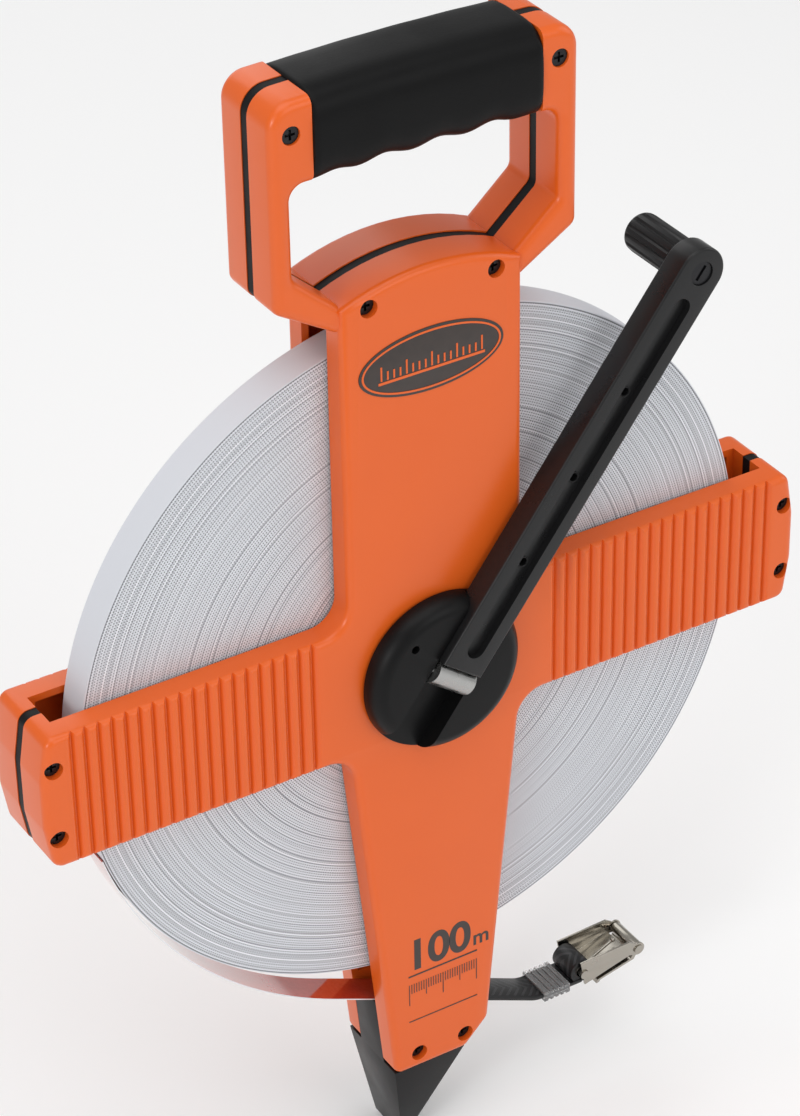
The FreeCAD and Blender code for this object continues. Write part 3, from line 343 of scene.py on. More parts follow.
def merged(tools):
    """Joins tools that don't touch each other into one."""
    bpy.ops.object.select_all(action="DESELECT")
    for tool in tools:
        tool.select_set(True)
    bpy.context.view_layer.objects.active = tools[0]
    bpy.ops.object.join()
    return tools[0]


def half_of(piece, level, keep_front, name):
    """A copy of the piece on one side of a level, closed across the cut."""
    only(piece)
    bpy.ops.object.duplicate()
    copy = bpy.context.object
    bpy.ops.object.mode_set(mode="EDIT")
    bpy.ops.mesh.select_all(action="SELECT")
    bpy.ops.mesh.bisect(
        plane_co=(0, level * MM, 0), plane_no=(0, 1, 0), use_fill=True,
        clear_inner=not keep_front, clear_outer=keep_front,
    )
    bpy.ops.object.mode_set(mode="OBJECT")
    return settle(copy, name)


def smooth(piece, angle=32.0):
    """Shades a piece smooth, apart from edges sharper than an angle in degrees."""
    only(piece)
    bpy.ops.object.shade_smooth_by_angle(angle=math.radians(angle))


def foot_edge(level):
    """Half width of the column below the arms."""
    share = (level + ARM_HALF) / (FOOT_LEVEL + ARM_HALF)
    return COLUMN_HALF + share * (FOOT_HALF - COLUMN_HALF)


cross_loop = outline([
    (COLUMN_HALF, ARM_HALF, CROSS_ROUND),
    (ARM_CHORD, ARM_HALF, CORNER_ROUND),
    (ARM_BOW, ARM_BOW_HALF, ARM_BOW_ROUND),
    (ARM_BOW, -ARM_BOW_HALF, ARM_BOW_ROUND),
    (ARM_CHORD, -ARM_HALF, CORNER_ROUND),
    (COLUMN_HALF, -ARM_HALF, CROSS_ROUND),
    (FOOT_HALF, FOOT_LEVEL, CORNER_ROUND),
    (FOOT_RIGHT, FOOT_BASE, CORNER_ROUND),
    (FOOT_LEFT, FOOT_BASE, FOOT_ROUND),
    (-COLUMN_HALF, -ARM_HALF, CROSS_ROUND),
    (-ARM_CHORD, -ARM_HALF, CORNER_ROUND),
    (-ARM_BOW, -ARM_BOW_HALF, ARM_BOW_ROUND),
    (-ARM_BOW, ARM_BOW_HALF, ARM_BOW_ROUND),
    (-ARM_CHORD, ARM_HALF, CORNER_ROUND),
    (-COLUMN_HALF, ARM_HALF, CROSS_ROUND),
    (-COLUMN_HALF, COLUMN_TOP),
    (COLUMN_HALF, COLUMN_TOP, 0, (0, TOP_ARCH)),
])
handle_corners = [
    (HANDLE_TOE_X, HANDLE_TOE_Z),
    (HANDLE_HALF, HANDLE_LOW, CORNER_ROUND),
    (HANDLE_HALF, HANDLE_TOP, HANDLE_ROUND),
    (0, HANDLE_BOW, HANDLE_BOW_ROUND),
    (-HANDLE_HALF, HANDLE_TOP, HANDLE_ROUND),
    (-HANDLE_HALF, HANDLE_LOW, CORNER_ROUND),
    (-HANDLE_TOE_X, HANDLE_TOE_Z),
]
opening_sides = [
    (OPENING_HALF, OPENING_LOW, OPENING_KNEE),
    (OPENING_HALF, OPENING_TOP, OPENING_ROUND),
    (-OPENING_HALF, OPENING_TOP, OPENING_ROUND),
    (-OPENING_HALF, OPENING_LOW, OPENING_KNEE),
]
toe = TOE_HALF - TOE_SINK - 0.5
opening_corners = [(toe, COLUMN_TOP - TOE_SINK)] + opening_sides + [(-toe, COLUMN_TOP - TOE_SINK)]
hollow_half = COLUMN_HALF - SKIN
hollow_arm = ARM_HALF - SKIN
hollow_end = SLOT_END - SKIN
hollow_foot = foot_edge(HOLLOW_LOW) - SKIN
column_hollow = outline([
    (hollow_half, SLOT_TOP - SKIN),
    (hollow_half, hollow_arm, HOLLOW_ROUND),
    (hollow_end, hollow_arm),
    (hollow_end, -hollow_arm),
    (hollow_half, -hollow_arm, HOLLOW_ROUND),
    (hollow_foot, HOLLOW_LOW),
    (-hollow_foot, HOLLOW_LOW),
    (-hollow_half, -hollow_arm, HOLLOW_ROUND),
    (-hollow_end, -hollow_arm),
    (-hollow_end, hollow_arm),
    (-hollow_half, hollow_arm, HOLLOW_ROUND),
    (-hollow_half, SLOT_TOP - SKIN),
])


def rib_cutter(front):
    """All the valleys of one face. Between two valleys a rib is left with a round crest."""
    valleys = []
    face = -CASE_HALF if front else CASE_HALF
    inward = 1 if front else -1
    for side in (-1, 1):
        for index in range(RIB_COUNT + 1):
            middle = side * (RIB_FIRST + index * RIB_PITCH)
            profile = []
            for cut in range(RIB_CUTS + 1):
                share = cut / RIB_CUTS
                reach = RIB_FLOOR + (RIB_MOUTH - RIB_FLOOR) * share
                profile.append((reach, RIB_DEEP * (1 - share) ** 2))
            profile.append((RIB_MOUTH, -1.0))
            ring = [(middle + x, face + inward * deep) for x, deep in profile]
            ring += [(middle - x, face + inward * deep) for x, deep in reversed(profile)]
            low = [(x * MM, y * MM, -RIB_HALF * MM) for x, y in ring]
            mesh = bpy.data.meshes.new("valley")
            mesh.from_pydata(low, [], [list(range(len(low)))])
            valley = bpy.data.objects.new("valley", mesh)
            bpy.context.scene.collection.objects.link(valley)
            only(valley)
            bpy.ops.object.mode_set(mode="EDIT")
            bpy.ops.mesh.select_all(action="SELECT")
            bpy.ops.mesh.extrude_region_move(TRANSFORM_OT_translate={"value": (0, 0, 2 * RIB_HALF * MM)})
            bpy.ops.object.mode_set(mode="OBJECT")
            mend(valley, outwards=True)
            face_outwards(valley)
            valleys.append(valley)
    return merged(valleys)


whole = slab("whole", [cross_loop], -CASE_HALF, CASE_HALF, CASE_EDGE, 4)
mend(whole, flat=0.5)
ring = slab("ring", [outline(handle_corners), outline(opening_corners)],
            -HANDLE_FACE, HANDLE_FACE, HANDLE_EDGE, 4)
hollow = slab("hollow", [column_hollow], -CASE_HALF + SKIN, CASE_HALF - SKIN)
carve(whole, ring, "UNION")
carve(whole, hollow)
slot = block((-SLOT_END, -SLOT_HALF, FOOT_BASE - 5), (SLOT_END, SLOT_HALF, SLOT_TOP))
carve(whole, slot)
grip_low = (GRIP_LEFT, -CASE_HALF - 3, OPENING_TOP - 3)
grip_high = (GRIP_RIGHT, CASE_HALF + 3, HANDLE_TOP + 5)
carve(whole, block(grip_low, grip_high))
carve(whole, rib_cutter(True))
carve(whole, rib_cutter(False))
front_shell = half_of(whole, -SEAM_HALF, True, "case_front")
rear_shell = half_of(whole, SEAM_HALF, False, "case_rear")
bpy.data.objects.remove(whole)
wells = [bore(WELL_RADIUS, x, z, -CASE_HALF - 2, -CASE_HALF + WELL_DEEP) for x, z in SCREWS]
carve(front_shell, merged(wells))
carve(front_shell, bore(HUB_BORE, 0, 0, -CASE_HALF - 1, -SLOT_HALF, 96))
carve(rear_shell, bore(NUT_WELL, 0, 0, CASE_HALF - NUT_DEEP, CASE_HALF + 1, 48))


def finish(name, colour, rough, **sockets):
    """A new material: its tree, its shader and Object coordinates."""
    made = bpy.data.materials.new(name)
    made.use_nodes = True
    shader = made.node_tree.nodes["Principled BSDF"]
    shader.inputs["Base Color"].default_value = (*colour, 1)
    shader.inputs["Roughness"].default_value = rough
    for socket, value in sockets.items():
        shader.inputs[socket.replace("_", " ")].default_value = value
    places = made.node_tree.nodes.new("ShaderNodeTexCoord")
    return made, made.node_tree, shader, places.outputs["Object"]


def emboss(tree, shader, height, strength, depth):
    """Lets a height drive the shader's normal. The depth is in millimetres."""
    bump = tree.nodes.new("ShaderNodeBump")
    bump.inputs["Strength"].default_value = strength
    bump.inputs["Distance"].default_value = depth * MM
    tree.links.new(height, bump.inputs["Height"])
    tree.links.new(bump.outputs["Normal"], shader.inputs["Normal"])


def grain(tree, shader, places, scale, strength, depth=0.1, detail=3.0):
    """Fine moulded grain: a noise drives the bump."""
    texture = tree.nodes.new("ShaderNodeTexNoise")
    texture.inputs["Scale"].default_value = scale
    texture.inputs["Detail"].default_value = detail
    tree.links.new(places, texture.inputs["Vector"])
    emboss(tree, shader, texture.outputs["Fac"], strength, depth)


def mottle(tree, shader, places, scale, low, high, socket="Base Color"):
    """Slow variation between two colours, or two values, over the surface."""
    texture = tree.nodes.new("ShaderNodeTexNoise")
    texture.inputs["Scale"].default_value = scale
    texture.inputs["Detail"].default_value = 5.0
    tree.links.new(places, texture.inputs["Vector"])
    if socket == "Base Color":
        blend = tree.nodes.new("ShaderNodeMix")
        blend.data_type = "RGBA"
        blend.inputs["A"].default_value = (*low, 1)
        blend.inputs["B"].default_value = (*high, 1)
        tree.links.new(texture.outputs["Fac"], blend.inputs["Factor"])
        tree.links.new(blend.outputs["Result"], shader.inputs[socket])
        return
    spread = tree.nodes.new("ShaderNodeMapRange")
    spread.inputs["From Min"].default_value = 0.3
    spread.inputs["From Max"].default_value = 0.7
    spread.inputs["To Min"].default_value = low
    spread.inputs["To Max"].default_value = high
    tree.links.new(texture.outputs["Fac"], spread.inputs["Value"])
    tree.links.new(spread.outputs["Result"], shader.inputs[socket])


def dress(piece, material):
    """Gives a piece one material in place of what it has."""
    piece.data.materials.clear()
    piece.data.materials.append(material)


def dress_node(name, material):
    """Puts a material in every slot of a CAD node."""
    for held in nodes[name].material_slots:
        held.material = material


orange, tree, shader, places = finish("satin_orange", (0.75, 0.117, 0.011), 0.33, Specular_IOR_Level=0.45)
mottle(tree, shader, places, 30.0, (0.73, 0.110, 0.010), (0.77, 0.124, 0.012))
mottle(tree, shader, places, 55.0, 0.29, 0.31, "Roughness")
grain(tree, shader, places, 1400.0, 0.05, 0.01)
for shell, node in ((front_shell, "front_shell"), (rear_shell, "rear_shell")):
    smooth(shell)
    dress(shell, orange)
    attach(shell, "case")
    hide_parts(node)

black, tree, shader, places = finish("black_moulding", (0.009, 0.009, 0.0095), 0.36, Specular_IOR_Level=0.26)
mottle(tree, shader, places, 70.0, 0.30, 0.42, "Roughness")
grain(tree, shader, places, 1100.0, 0.25, 0.06)

# ---- Seam core --------------------------------------------------------------------------------
# A black plate lies between the two halves round the handle, and two short ones close the ends of
# the arms. They stand back a little from the orange edges, so the seam reads as a black line.

CORE_INSET = 0.3

core_corners = [(COLUMN_HALF, SLOT_TOP)] + handle_corners[1:-1] + [(-COLUMN_HALF, SLOT_TOP)]
core_toe = TOE_HALF + 0.4
core_top = COLUMN_TOP + 0.4
core_opening = opening_sides + [(-core_toe, core_top), (core_toe, core_top, 0, (0, TOP_ARCH - 0.1))]
core = slab("seam_core", [outline(core_corners), outline(core_opening)],
            -SEAM_HALF, SEAM_HALF, 0.0, 0, CORE_INSET)
carve(core, block(grip_low, grip_high))
smooth(core)
seam_black, tree, shader, places = finish("seam_black", (0.006, 0.006, 0.0065), 0.5, Specular_IOR_Level=0.15)
mottle(tree, shader, places, 70.0, 0.44, 0.58, "Roughness")
grain(tree, shader, places, 1100.0, 0.25, 0.06)
dress(core, seam_black)
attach(core, "case")
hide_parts("handle_core")

for side, name in ((-1, "left"), (1, "right")):
    spacer = slab("seam_end_" + name, [cross_loop], -SEAM_HALF, SEAM_HALF, 0.0, 0, CORE_INSET)
    ends = sorted((side * SLOT_END, side * (ARM_END + 2)))
    carve(spacer, block((ends[0], -3, -30), (ends[1], 3, 30)), "INTERSECT")
    smooth(spacer)
    dress(spacer, seam_black)
    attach(spacer, "case")
    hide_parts("arm_spacer_" + name)

# ---- Hand grip --------------------------------------------------------------------------------
# A soft black rubber sleeve on the top bar. Its underside has finger grooves, its top is a little
# arched, and both ends are cut square with a small round.

GRIP_LOW = 186.2
GRIP_HIGH = 218.3
GRIP_DEEP = 16.8
FINGER_PITCH = 19.0
FINGER_DEEP = 1.7
GRIP_ROUND = 1.2
GRIP_BOW = 0.9
GRIP_SIDES = 64
GRIP_STEPS = 56
FINGER_START = 4.0


def grip_ring(x, shrink):
    """One section of the grip: a rounded oblong that follows the finger grooves and the arch."""
    share = (x - GRIP_LEFT) / (GRIP_RIGHT - GRIP_LEFT)
    wave = 0.5 - 0.5 * math.cos(2 * math.pi * (x + FINGER_START) / FINGER_PITCH)
    fade = min(1.0, 6 * share, 6 * (1 - share))
    low = GRIP_LOW + FINGER_DEEP * wave * fade + shrink
    high = GRIP_HIGH - GRIP_BOW * (2 * share - 1) ** 2 - shrink
    section = []
    for cut in range(GRIP_SIDES):
        angle = 2 * math.pi * cut / GRIP_SIDES
        across = math.copysign(abs(math.cos(angle)) ** 0.54, math.cos(angle))
        rise = math.copysign(abs(math.sin(angle)) ** 0.58, math.sin(angle))
        y = (GRIP_DEEP - shrink) * across
        z = (low + high) / 2 + (high - low) / 2 * rise
        section.append((x * MM, y * MM, z * MM))
    return section


stations = [(GRIP_LEFT, GRIP_ROUND), (GRIP_LEFT + 0.35, 0.4), (GRIP_LEFT + GRIP_ROUND, 0.0)]
plain_long = GRIP_RIGHT - GRIP_LEFT - 2 * GRIP_ROUND
for cut in range(1, GRIP_STEPS):
    stations.append((GRIP_LEFT + GRIP_ROUND + plain_long * cut / GRIP_STEPS, 0.0))
stations += [(GRIP_RIGHT - GRIP_ROUND, 0.0), (GRIP_RIGHT - 0.35, 0.4), (GRIP_RIGHT, GRIP_ROUND)]


def skin_over(name, rings, closed_ends=True):
    """A piece whose skin runs over rings of equal count. Its ends are closed, or its last ring is
    the first one again."""
    count = len(rings[0])
    points = [point for ring in rings for point in ring]
    faces = []
    for index in range(len(rings) - 1):
        for cut in range(count):
            after = (cut + 1) % count
            first = index * count
            faces.append((first + cut, first + after, first + count + after, first + count + cut))
    if closed_ends:
        faces.append(list(range(count)))
        faces.append(list(range((len(rings) - 1) * count, len(rings) * count)))
    mesh = bpy.data.meshes.new(name)
    mesh.from_pydata(points, [], faces)
    piece = bpy.data.objects.new(name, mesh)
    bpy.context.scene.collection.objects.link(piece)
    mend(piece, gap=1e-7, outwards=True)
    return piece


grip = skin_over("hand_grip", [grip_ring(x, shrink) for x, shrink in stations])
smooth(grip, 40)
rubber, tree, shader, places = finish("soft_rubber", (0.004, 0.004, 0.0042), 0.45, Specular_IOR_Level=0.13)
mottle(tree, shader, places, 40.0, 0.38, 0.52, "Roughness")
grain(tree, shader, places, 900.0, 0.35, 0.08, 5.0)
dress(grip, rubber)
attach(grip, "case")
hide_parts("grip_sleeve")

# ---- Case screws ------------------------------------------------------------------------------
# Ten black cross-head screws sunk in wells, and the bolt that the knob turns on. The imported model
# has their real heads, so they only get a finish.

oxide, tree, shader, places = finish("black_oxide", (0.018, 0.018, 0.02), 0.34, Metallic=0.6)
mottle(tree, shader, places, 500.0, 0.25, 0.45, "Roughness")
grain(tree, shader, places, 2500.0, 0.2, 0.03)
dress_node("case_screws", oxide)
dress_node("knob_bolt", oxide)

# ---- Badge and length mark --------------------------------------------------------------------
# A plain oval plate on the column carries a thin rim and a short rule with ticks. Lower down, the
# blade's length is printed over a scale between two thin lines.

BADGE_X = -1.0
BADGE_Z = 117.0
BADGE_WIDE = 26.5
BADGE_HIGH = 11.4
BADGE_FRONT = -17.3
BADGE_REAR = -16.9
RIM_FRONT = -17.42
RIM_REAR = -17.2
TICK_STEP = 2.3
TICK_HALF = 0.3
TICK_LOW = BADGE_Z - 2.6
PRINT_FRONT = -17.12
PRINT_REAR = -16.95
PRINT_BASE = -123.6
PRINT_STEP = 0.98
PRINT_TOP = -130.0


def oval(wide, high, sides=72):
    """An oval about the badge's middle."""
    turns = [2 * math.pi * cut / sides for cut in range(sides)]
    return [(BADGE_X + wide * math.cos(a), BADGE_Z + high * math.sin(a)) for a in turns]


def oblong(left, right, low, high):
    """The four corners of an upright oblong."""
    return [(left, low), (right, low), (right, high), (left, high)]


dark_print, tree, shader, places = finish("dark_print", (0.035, 0.026, 0.022), 0.45)
mottle(tree, shader, places, 300.0, (0.028, 0.022, 0.020), (0.050, 0.036, 0.030))
grain(tree, shader, places, 1800.0, 0.15, 0.03)

badge = slab("badge_plate", [oval(BADGE_WIDE, BADGE_HIGH)], BADGE_FRONT, BADGE_REAR, 0.12, 1)
rim_loops = [oval(BADGE_WIDE - inset, BADGE_HIGH - inset) for inset in (1.0, 1.7)]
badge_rim = slab("badge_rim", rim_loops, RIM_FRONT, RIM_REAR, 0.03, 1)
bars = []
for index in range(-8, 9):
    high = 5.0 if index % 4 == 0 else 3.0
    middle = BADGE_X + index * TICK_STEP
    bars.append(oblong(middle - TICK_HALF, middle + TICK_HALF, TICK_LOW, TICK_LOW + high))
bars.append(oblong(BADGE_X - 19.5, BADGE_X + 19.5, BADGE_Z - 4.0, BADGE_Z - 3.1))
badge_rule = settle(merged([slab("tick", [bar], RIM_FRONT, RIM_REAR) for bar in bars]), "badge_rule")
for piece, material, finish_slot in (
    (badge, dark_print, "black_plastic"),
    (badge_rim, orange, "case_orange"),
    (badge_rule, orange, "case_orange"),
):
    smooth(piece)
    dress(piece, material)
    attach(piece, "case")

lettering = []
for words, left, aligned, size, weight in (
    ("100", -14.2, "LEFT", 18.0, 0.46),
    ("m", 16.2, "CENTER", 9.0, 0.16),
):
    place = Vector((left, PRINT_REAR, PRINT_BASE)) * MM
    bpy.ops.object.select_all(action="DESELECT")
    bpy.ops.object.text_add(location=place, rotation=(math.radians(90), 0, 0))
    letters = bpy.context.object
    letters.data.body = words
    letters.data.align_x = aligned
    letters.data.size = size * MM
    letters.data.offset = weight * MM
    letters.data.space_character = 0.96
    letters.data.extrude = 0.09 * MM
    only(letters)
    bpy.ops.object.convert(target="MESH")
    lettering.append(settle(letters, "letters"))
length_mark = settle(merged(lettering), "length_mark")
bars = [oblong(-13.5, 14.5, low, high) for low, high in ((-126.6, -126.0), (-146.6, -146.2))]
for index in range(29):
    tall = 9.0 if index % 14 == 0 else (6.5 if index % 7 == 0 else 4.0)
    middle = -13.2 + index * PRINT_STEP
    bars.append(oblong(middle - 0.14, middle + 0.14, PRINT_TOP - tall, PRINT_TOP))
length_rule = settle(merged([slab("line", [bar], PRINT_FRONT, PRINT_REAR) for bar in bars]), "length_rule")
for piece in (length_mark, length_rule):
    dress(piece, dark_print)
    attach(piece, "case")

# ---- Ground spike -----------------------------------------------------------------------------
# A black wedge in one piece with the web that the foot's screws hold. Its edges are slightly
# rounded.

SHARP = 35.0


def softened(node, name, width):
    """A copy of a CAD node's shape, merged, with its sharp edges rounded."""
    mesh = nodes[node].data.copy()
    piece = bpy.data.objects.new(name, mesh)
    bpy.context.scene.collection.objects.link(piece)
    mend(piece, gap=2e-6, flat=0.6)
    edge = piece.modifiers.new("edge", "BEVEL")
    edge.width = width * MM
    edge.segments = 2
    edge.limit_method = "ANGLE"
    edge.angle_limit = math.radians(SHARP)
    bpy.ops.object.modifier_apply(modifier=edge.name)
    smooth(piece, SHARP)
    return piece


spike = softened("ground_spike", "ground_spike_black", 0.7)
dress(spike, black)
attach(spike, "case")
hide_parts("ground_spike")

# ---- Wound blade ------------------------------------------------------------------------------
# About a hundred metres of white coated glass-fibre tape, wound on its side. The edges of the turns
# make fine rings that stand a hair in, and the yarns in each edge show as rows of dots.

COIL_RADIUS = 126.0
CORE_RADIUS = 39.5
COIL_HALF = 6.5
TURN_STEP = 0.9
COIL_SIDES = 288
YARN_ROW = 0.9
YARN_STEP = 1.0

random.seed(11)
profile = []
turns = int((COIL_RADIUS - CORE_RADIUS) / TURN_STEP)
for index in range(turns):
    radius = CORE_RADIUS + TURN_STEP * index
    loose = 0.01 + 0.07 * (index / turns) ** 8
    sink = random.uniform(0.0, loose)
    profile.append((radius, COIL_HALF - sink))
profile.append((COIL_RADIUS, COIL_HALF - 0.1))
section = [(radius, -level) for radius, level in profile]
section += [(COIL_RADIUS, 0.0)]
section += [(radius, level) for radius, level in reversed(profile)]
section += [(CORE_RADIUS, 0.0)]


def spun(name, section, sides):
    """A ring or disc from a closed section of (radius, level along the axis), spun about the axis."""
    rings = []
    for cut in range(sides):
        angle = 2 * math.pi * cut / sides
        x = math.sin(angle) * MM
        z = math.cos(angle) * MM
        rings.append([(radius * x, level * MM, radius * z) for radius, level in section])
    rings.append(rings[0])
    return skin_over(name, rings, False)


coil = spun("wound_blade", section, COIL_SIDES)
smooth(coil, 40)


def sums(tree, way, first, second=0.0, third=None):
    """One step of arithmetic in a material."""
    node = tree.nodes.new("ShaderNodeMath")
    node.operation = way
    for socket, value in zip(node.inputs, (first, second, third)):
        if value is None:
            continue
        if isinstance(value, (int, float)):
            socket.default_value = value
        else:
            tree.links.new(value, socket)
    return node.outputs[0]


def tinted(tree, factor, low, high):
    """A colour between two, by a factor."""
    blend = tree.nodes.new("ShaderNodeMix")
    blend.data_type = "RGBA"
    for socket, value in (("Factor", factor), ("A", low), ("B", high)):
        if isinstance(value, tuple):
            blend.inputs[socket].default_value = (*value, 1)
        elif isinstance(value, float):
            blend.inputs[socket].default_value = value
        else:
            tree.links.new(value, blend.inputs[socket])
    return blend.outputs["Result"]


edge_white, tree, shader, places = finish("tape_edges", (0.74, 0.76, 0.80), 0.5, Specular_IOR_Level=0.3)
split = tree.nodes.new("ShaderNodeSeparateXYZ")
tree.links.new(places, split.inputs["Vector"])
across = split.outputs["X"]
upward = split.outputs["Z"]
square = sums(tree, "ADD", sums(tree, "MULTIPLY", across, across), sums(tree, "MULTIPLY", upward, upward))
radius = sums(tree, "SQRT", square)
angle = sums(tree, "ARCTAN2", across, upward)
rows = sums(tree, "DIVIDE", radius, YARN_ROW * MM)
row = sums(tree, "FLOOR", rows)
in_row = sums(tree, "FRACT", rows)
# A whole number of yarns in each row, so that no row breaks where the angle starts again
yarns = sums(tree, "FLOOR", sums(tree, "MULTIPLY", row, YARN_ROW * 2 * math.pi / YARN_STEP))
round_row = sums(tree, "MULTIPLY", sums(tree, "DIVIDE", angle, 2 * math.pi), yarns)
step = sums(tree, "FRACT", sums(tree, "ADD", round_row, sums(tree, "MULTIPLY", row, 0.5)))
dot = sums(tree, "MULTIPLY", sums(tree, "LESS_THAN", step, 0.48), sums(tree, "LESS_THAN", in_row, 0.40))
patch = tree.nodes.new("ShaderNodeTexNoise")
patch.inputs["Scale"].default_value = 38.0
patch.inputs["Detail"].default_value = 6.0
tree.links.new(places, patch.inputs["Vector"])
dot_depth = sums(tree, "MULTIPLY", dot, sums(tree, "MULTIPLY_ADD", patch.outputs["Fac"], 0.9, 0.45))
line = tree.nodes.new("ShaderNodeTexNoise")
line.noise_dimensions = "1D"
line.inputs["Scale"].default_value = 1100.0
line.inputs["Detail"].default_value = 3.0
tree.links.new(radius, line.inputs["W"])
dark_line = tree.nodes.new("ShaderNodeMapRange")
dark_line.inputs["From Min"].default_value = 0.57
dark_line.inputs["From Max"].default_value = 0.66
dark_line.inputs["To Max"].default_value = 0.8
tree.links.new(line.outputs["Fac"], dark_line.inputs["Value"])
pale_line = tree.nodes.new("ShaderNodeMapRange")
pale_line.inputs["From Min"].default_value = 0.45
pale_line.inputs["From Max"].default_value = 0.28
tree.links.new(line.outputs["Fac"], pale_line.inputs["Value"])
on_side = sums(tree, "LESS_THAN", radius, (COIL_RADIUS - 0.35) * MM)
ground = tinted(tree, patch.outputs["Fac"], (0.58, 0.60, 0.64), (0.74, 0.76, 0.80))
ground = tinted(tree, pale_line.outputs["Result"], ground, (0.80, 0.81, 0.85))
ground = tinted(tree, dark_line.outputs["Result"], ground, (0.30, 0.31, 0.34))
ground = tinted(tree, dot_depth, ground, (0.07, 0.075, 0.09))
# A dark hairline round the rim of the side face is painted shade where the side face meets the outer turn.
at_rim = sums(tree, "GREATER_THAN", radius, (COIL_RADIUS - 0.75) * MM)
rim_painted_shade = sums(tree, "MULTIPLY", at_rim, 0.75)
ground = tinted(tree, rim_painted_shade, ground, (0.10, 0.105, 0.12))
ground = tinted(tree, on_side, (0.66, 0.675, 0.72), ground)
tree.links.new(ground, shader.inputs["Base Color"])
relief = sums(tree, "MULTIPLY", sums(tree, "SUBTRACT", line.outputs["Fac"], dot), on_side)
emboss(tree, shader, relief, 0.2, 0.03)
dress(coil, edge_white)
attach(coil, "drum")
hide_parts("tape_coil")

# ---- Drum and gears ---------------------------------------------------------------------------
# Behind the column sit the black drum, its bronze bush and the white acetal gears that make the
# drum turn three times for each turn of the crank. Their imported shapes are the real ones.

acetal, tree, shader, places = finish("white_acetal", (0.78, 0.77, 0.72), 0.4, Subsurface_Weight=0.1)
mottle(tree, shader, places, 120.0, (0.74, 0.73, 0.68), (0.82, 0.81, 0.77))
grain(tree, shader, places, 1500.0, 0.15, 0.04)
bronze, tree, shader, places = finish("sintered_bronze", (0.52, 0.34, 0.16), 0.45, Metallic=1.0)
mottle(tree, shader, places, 400.0, (0.42, 0.27, 0.12), (0.58, 0.40, 0.20))
grain(tree, shader, places, 2200.0, 0.4, 0.05)
steel, tree, shader, places = finish("bright_steel", (0.72, 0.72, 0.72), 0.24, Metallic=1.0)
mottle(tree, shader, places, 260.0, 0.16, 0.34, "Roughness")
grain(tree, shader, places, 1200.0, 0.12, 0.03)
dress_node("drum_core", black)
for name in ("ring_gear", "sun_gear", "planet_gear_1", "planet_gear_2", "planet_gear_3"):
    dress_node(name, acetal)
for name in ("drum_bush", "rear_washer"):
    dress_node(name, bronze)
for name in ("ring_gear_screws", "axle_bolt", "axle_nut", "planet_pins", "hinge_pin"):
    dress_node(name, steel)
# The hinge barrel's steel is a darker copy of the bright steel: painted shade from the crank arm's overhang.
barrel_steel_painted_shade, tree, shader, places = finish("barrel_steel_painted_shade", (0.42, 0.42, 0.41), 0.3, Metallic=1.0)
mottle(tree, shader, places, 260.0, 0.22, 0.4, "Roughness")
grain(tree, shader, places, 1200.0, 0.12, 0.03)
dress_node("hinge_barrel", barrel_steel_painted_shade)

# ---- Crank hub --------------------------------------------------------------------------------
# A black disc with a domed edge, moulded with the gears' carrier. A deep groove right across it
# holds the crank's hinge, and the crank folds back through the groove.

CRANK_ANGLE = 37.2
HUB_RADIUS = 29.0
HUB_FLAT = 24.0
HUB_BASE = -17.3
HUB_FACE = -25.25
GROOVE_HALF = 9.0
GROOVE_FLOOR = -18.8
CARRIER_BACK = -10.2
HUB_NECK = 20.7
HUB_LIP = 0.6
HUB_DOME = HUB_FLAT - 0.8
DOME_CUTS = 12


def turned_with_crank(piece, name):
    """Turns a piece that was drawn upright to the crank's rest angle."""
    piece.rotation_euler = (0, math.radians(CRANK_ANGLE), 0)
    return settle(piece, name)


hub_section = [
    (0.0, CARRIER_BACK),
    (HUB_NECK, CARRIER_BACK),
    (HUB_NECK, HUB_BASE),
    (HUB_RADIUS - HUB_LIP, HUB_BASE),
    (HUB_RADIUS, HUB_BASE - HUB_LIP),
]
for cut in range(1, DOME_CUTS + 1):
    angle = math.radians(90 * cut / DOME_CUTS)
    hub_section.append((
        HUB_DOME + (HUB_RADIUS - HUB_DOME) * math.cos(angle),
        HUB_BASE - HUB_LIP + (HUB_FACE - HUB_BASE + HUB_LIP) * math.sin(angle),
    ))
hub_section.append((0.0, HUB_FACE))
hub = spun("crank_hub_disc", hub_section, 128)
groove = block((-GROOVE_HALF, HUB_FACE - 3, -HUB_RADIUS - 3),
               (GROOVE_HALF, GROOVE_FLOOR, HUB_RADIUS + 3))
carve(hub, turned_with_crank(groove, "groove"))
carve(hub, bore(1.5, -13.4, 16.0, HUB_FACE - 2, HUB_FACE + 3))
smooth(hub, 30)
hub_black, tree, shader, places = finish("hub_black", (0.004, 0.004, 0.0042), 0.26, Specular_IOR_Level=0.17)
mottle(tree, shader, places, 60.0, 0.30, 0.44, "Roughness")
grain(tree, shader, places, 1500.0, 0.15, 0.05)
dress(hub, hub_black)
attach(hub, "hub")
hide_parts("crank_hub")

# ---- Crank arm --------------------------------------------------------------------------------
# A black moulded arm with a round end. A long recess runs down its front, with three small eyelets
# in its floor, and its lower end is seated on the hinge's barrel.

CRANK_HALF = 8.8
CRANK_FRONT = -28.5
CRANK_REAR = -19.0
CRANK_EDGE = 0.9
CRANK_START = 3.9
CRANK_FAR = 154.6
RECESS_HALF = 3.5
RECESS_FLOOR = -25.8
RECESS_LOW = CRANK_START + 9
RECESS_HIGH = CRANK_FAR - 2 * RECESS_HALF - 6
BARREL_LEVEL = -23.75
BARREL_SEAT = 4.65
BOLT_WELL = 4.2
EYELET_BORE = 1.4
EYELET_RING = 1.75
EYELET_WIRE = 0.32

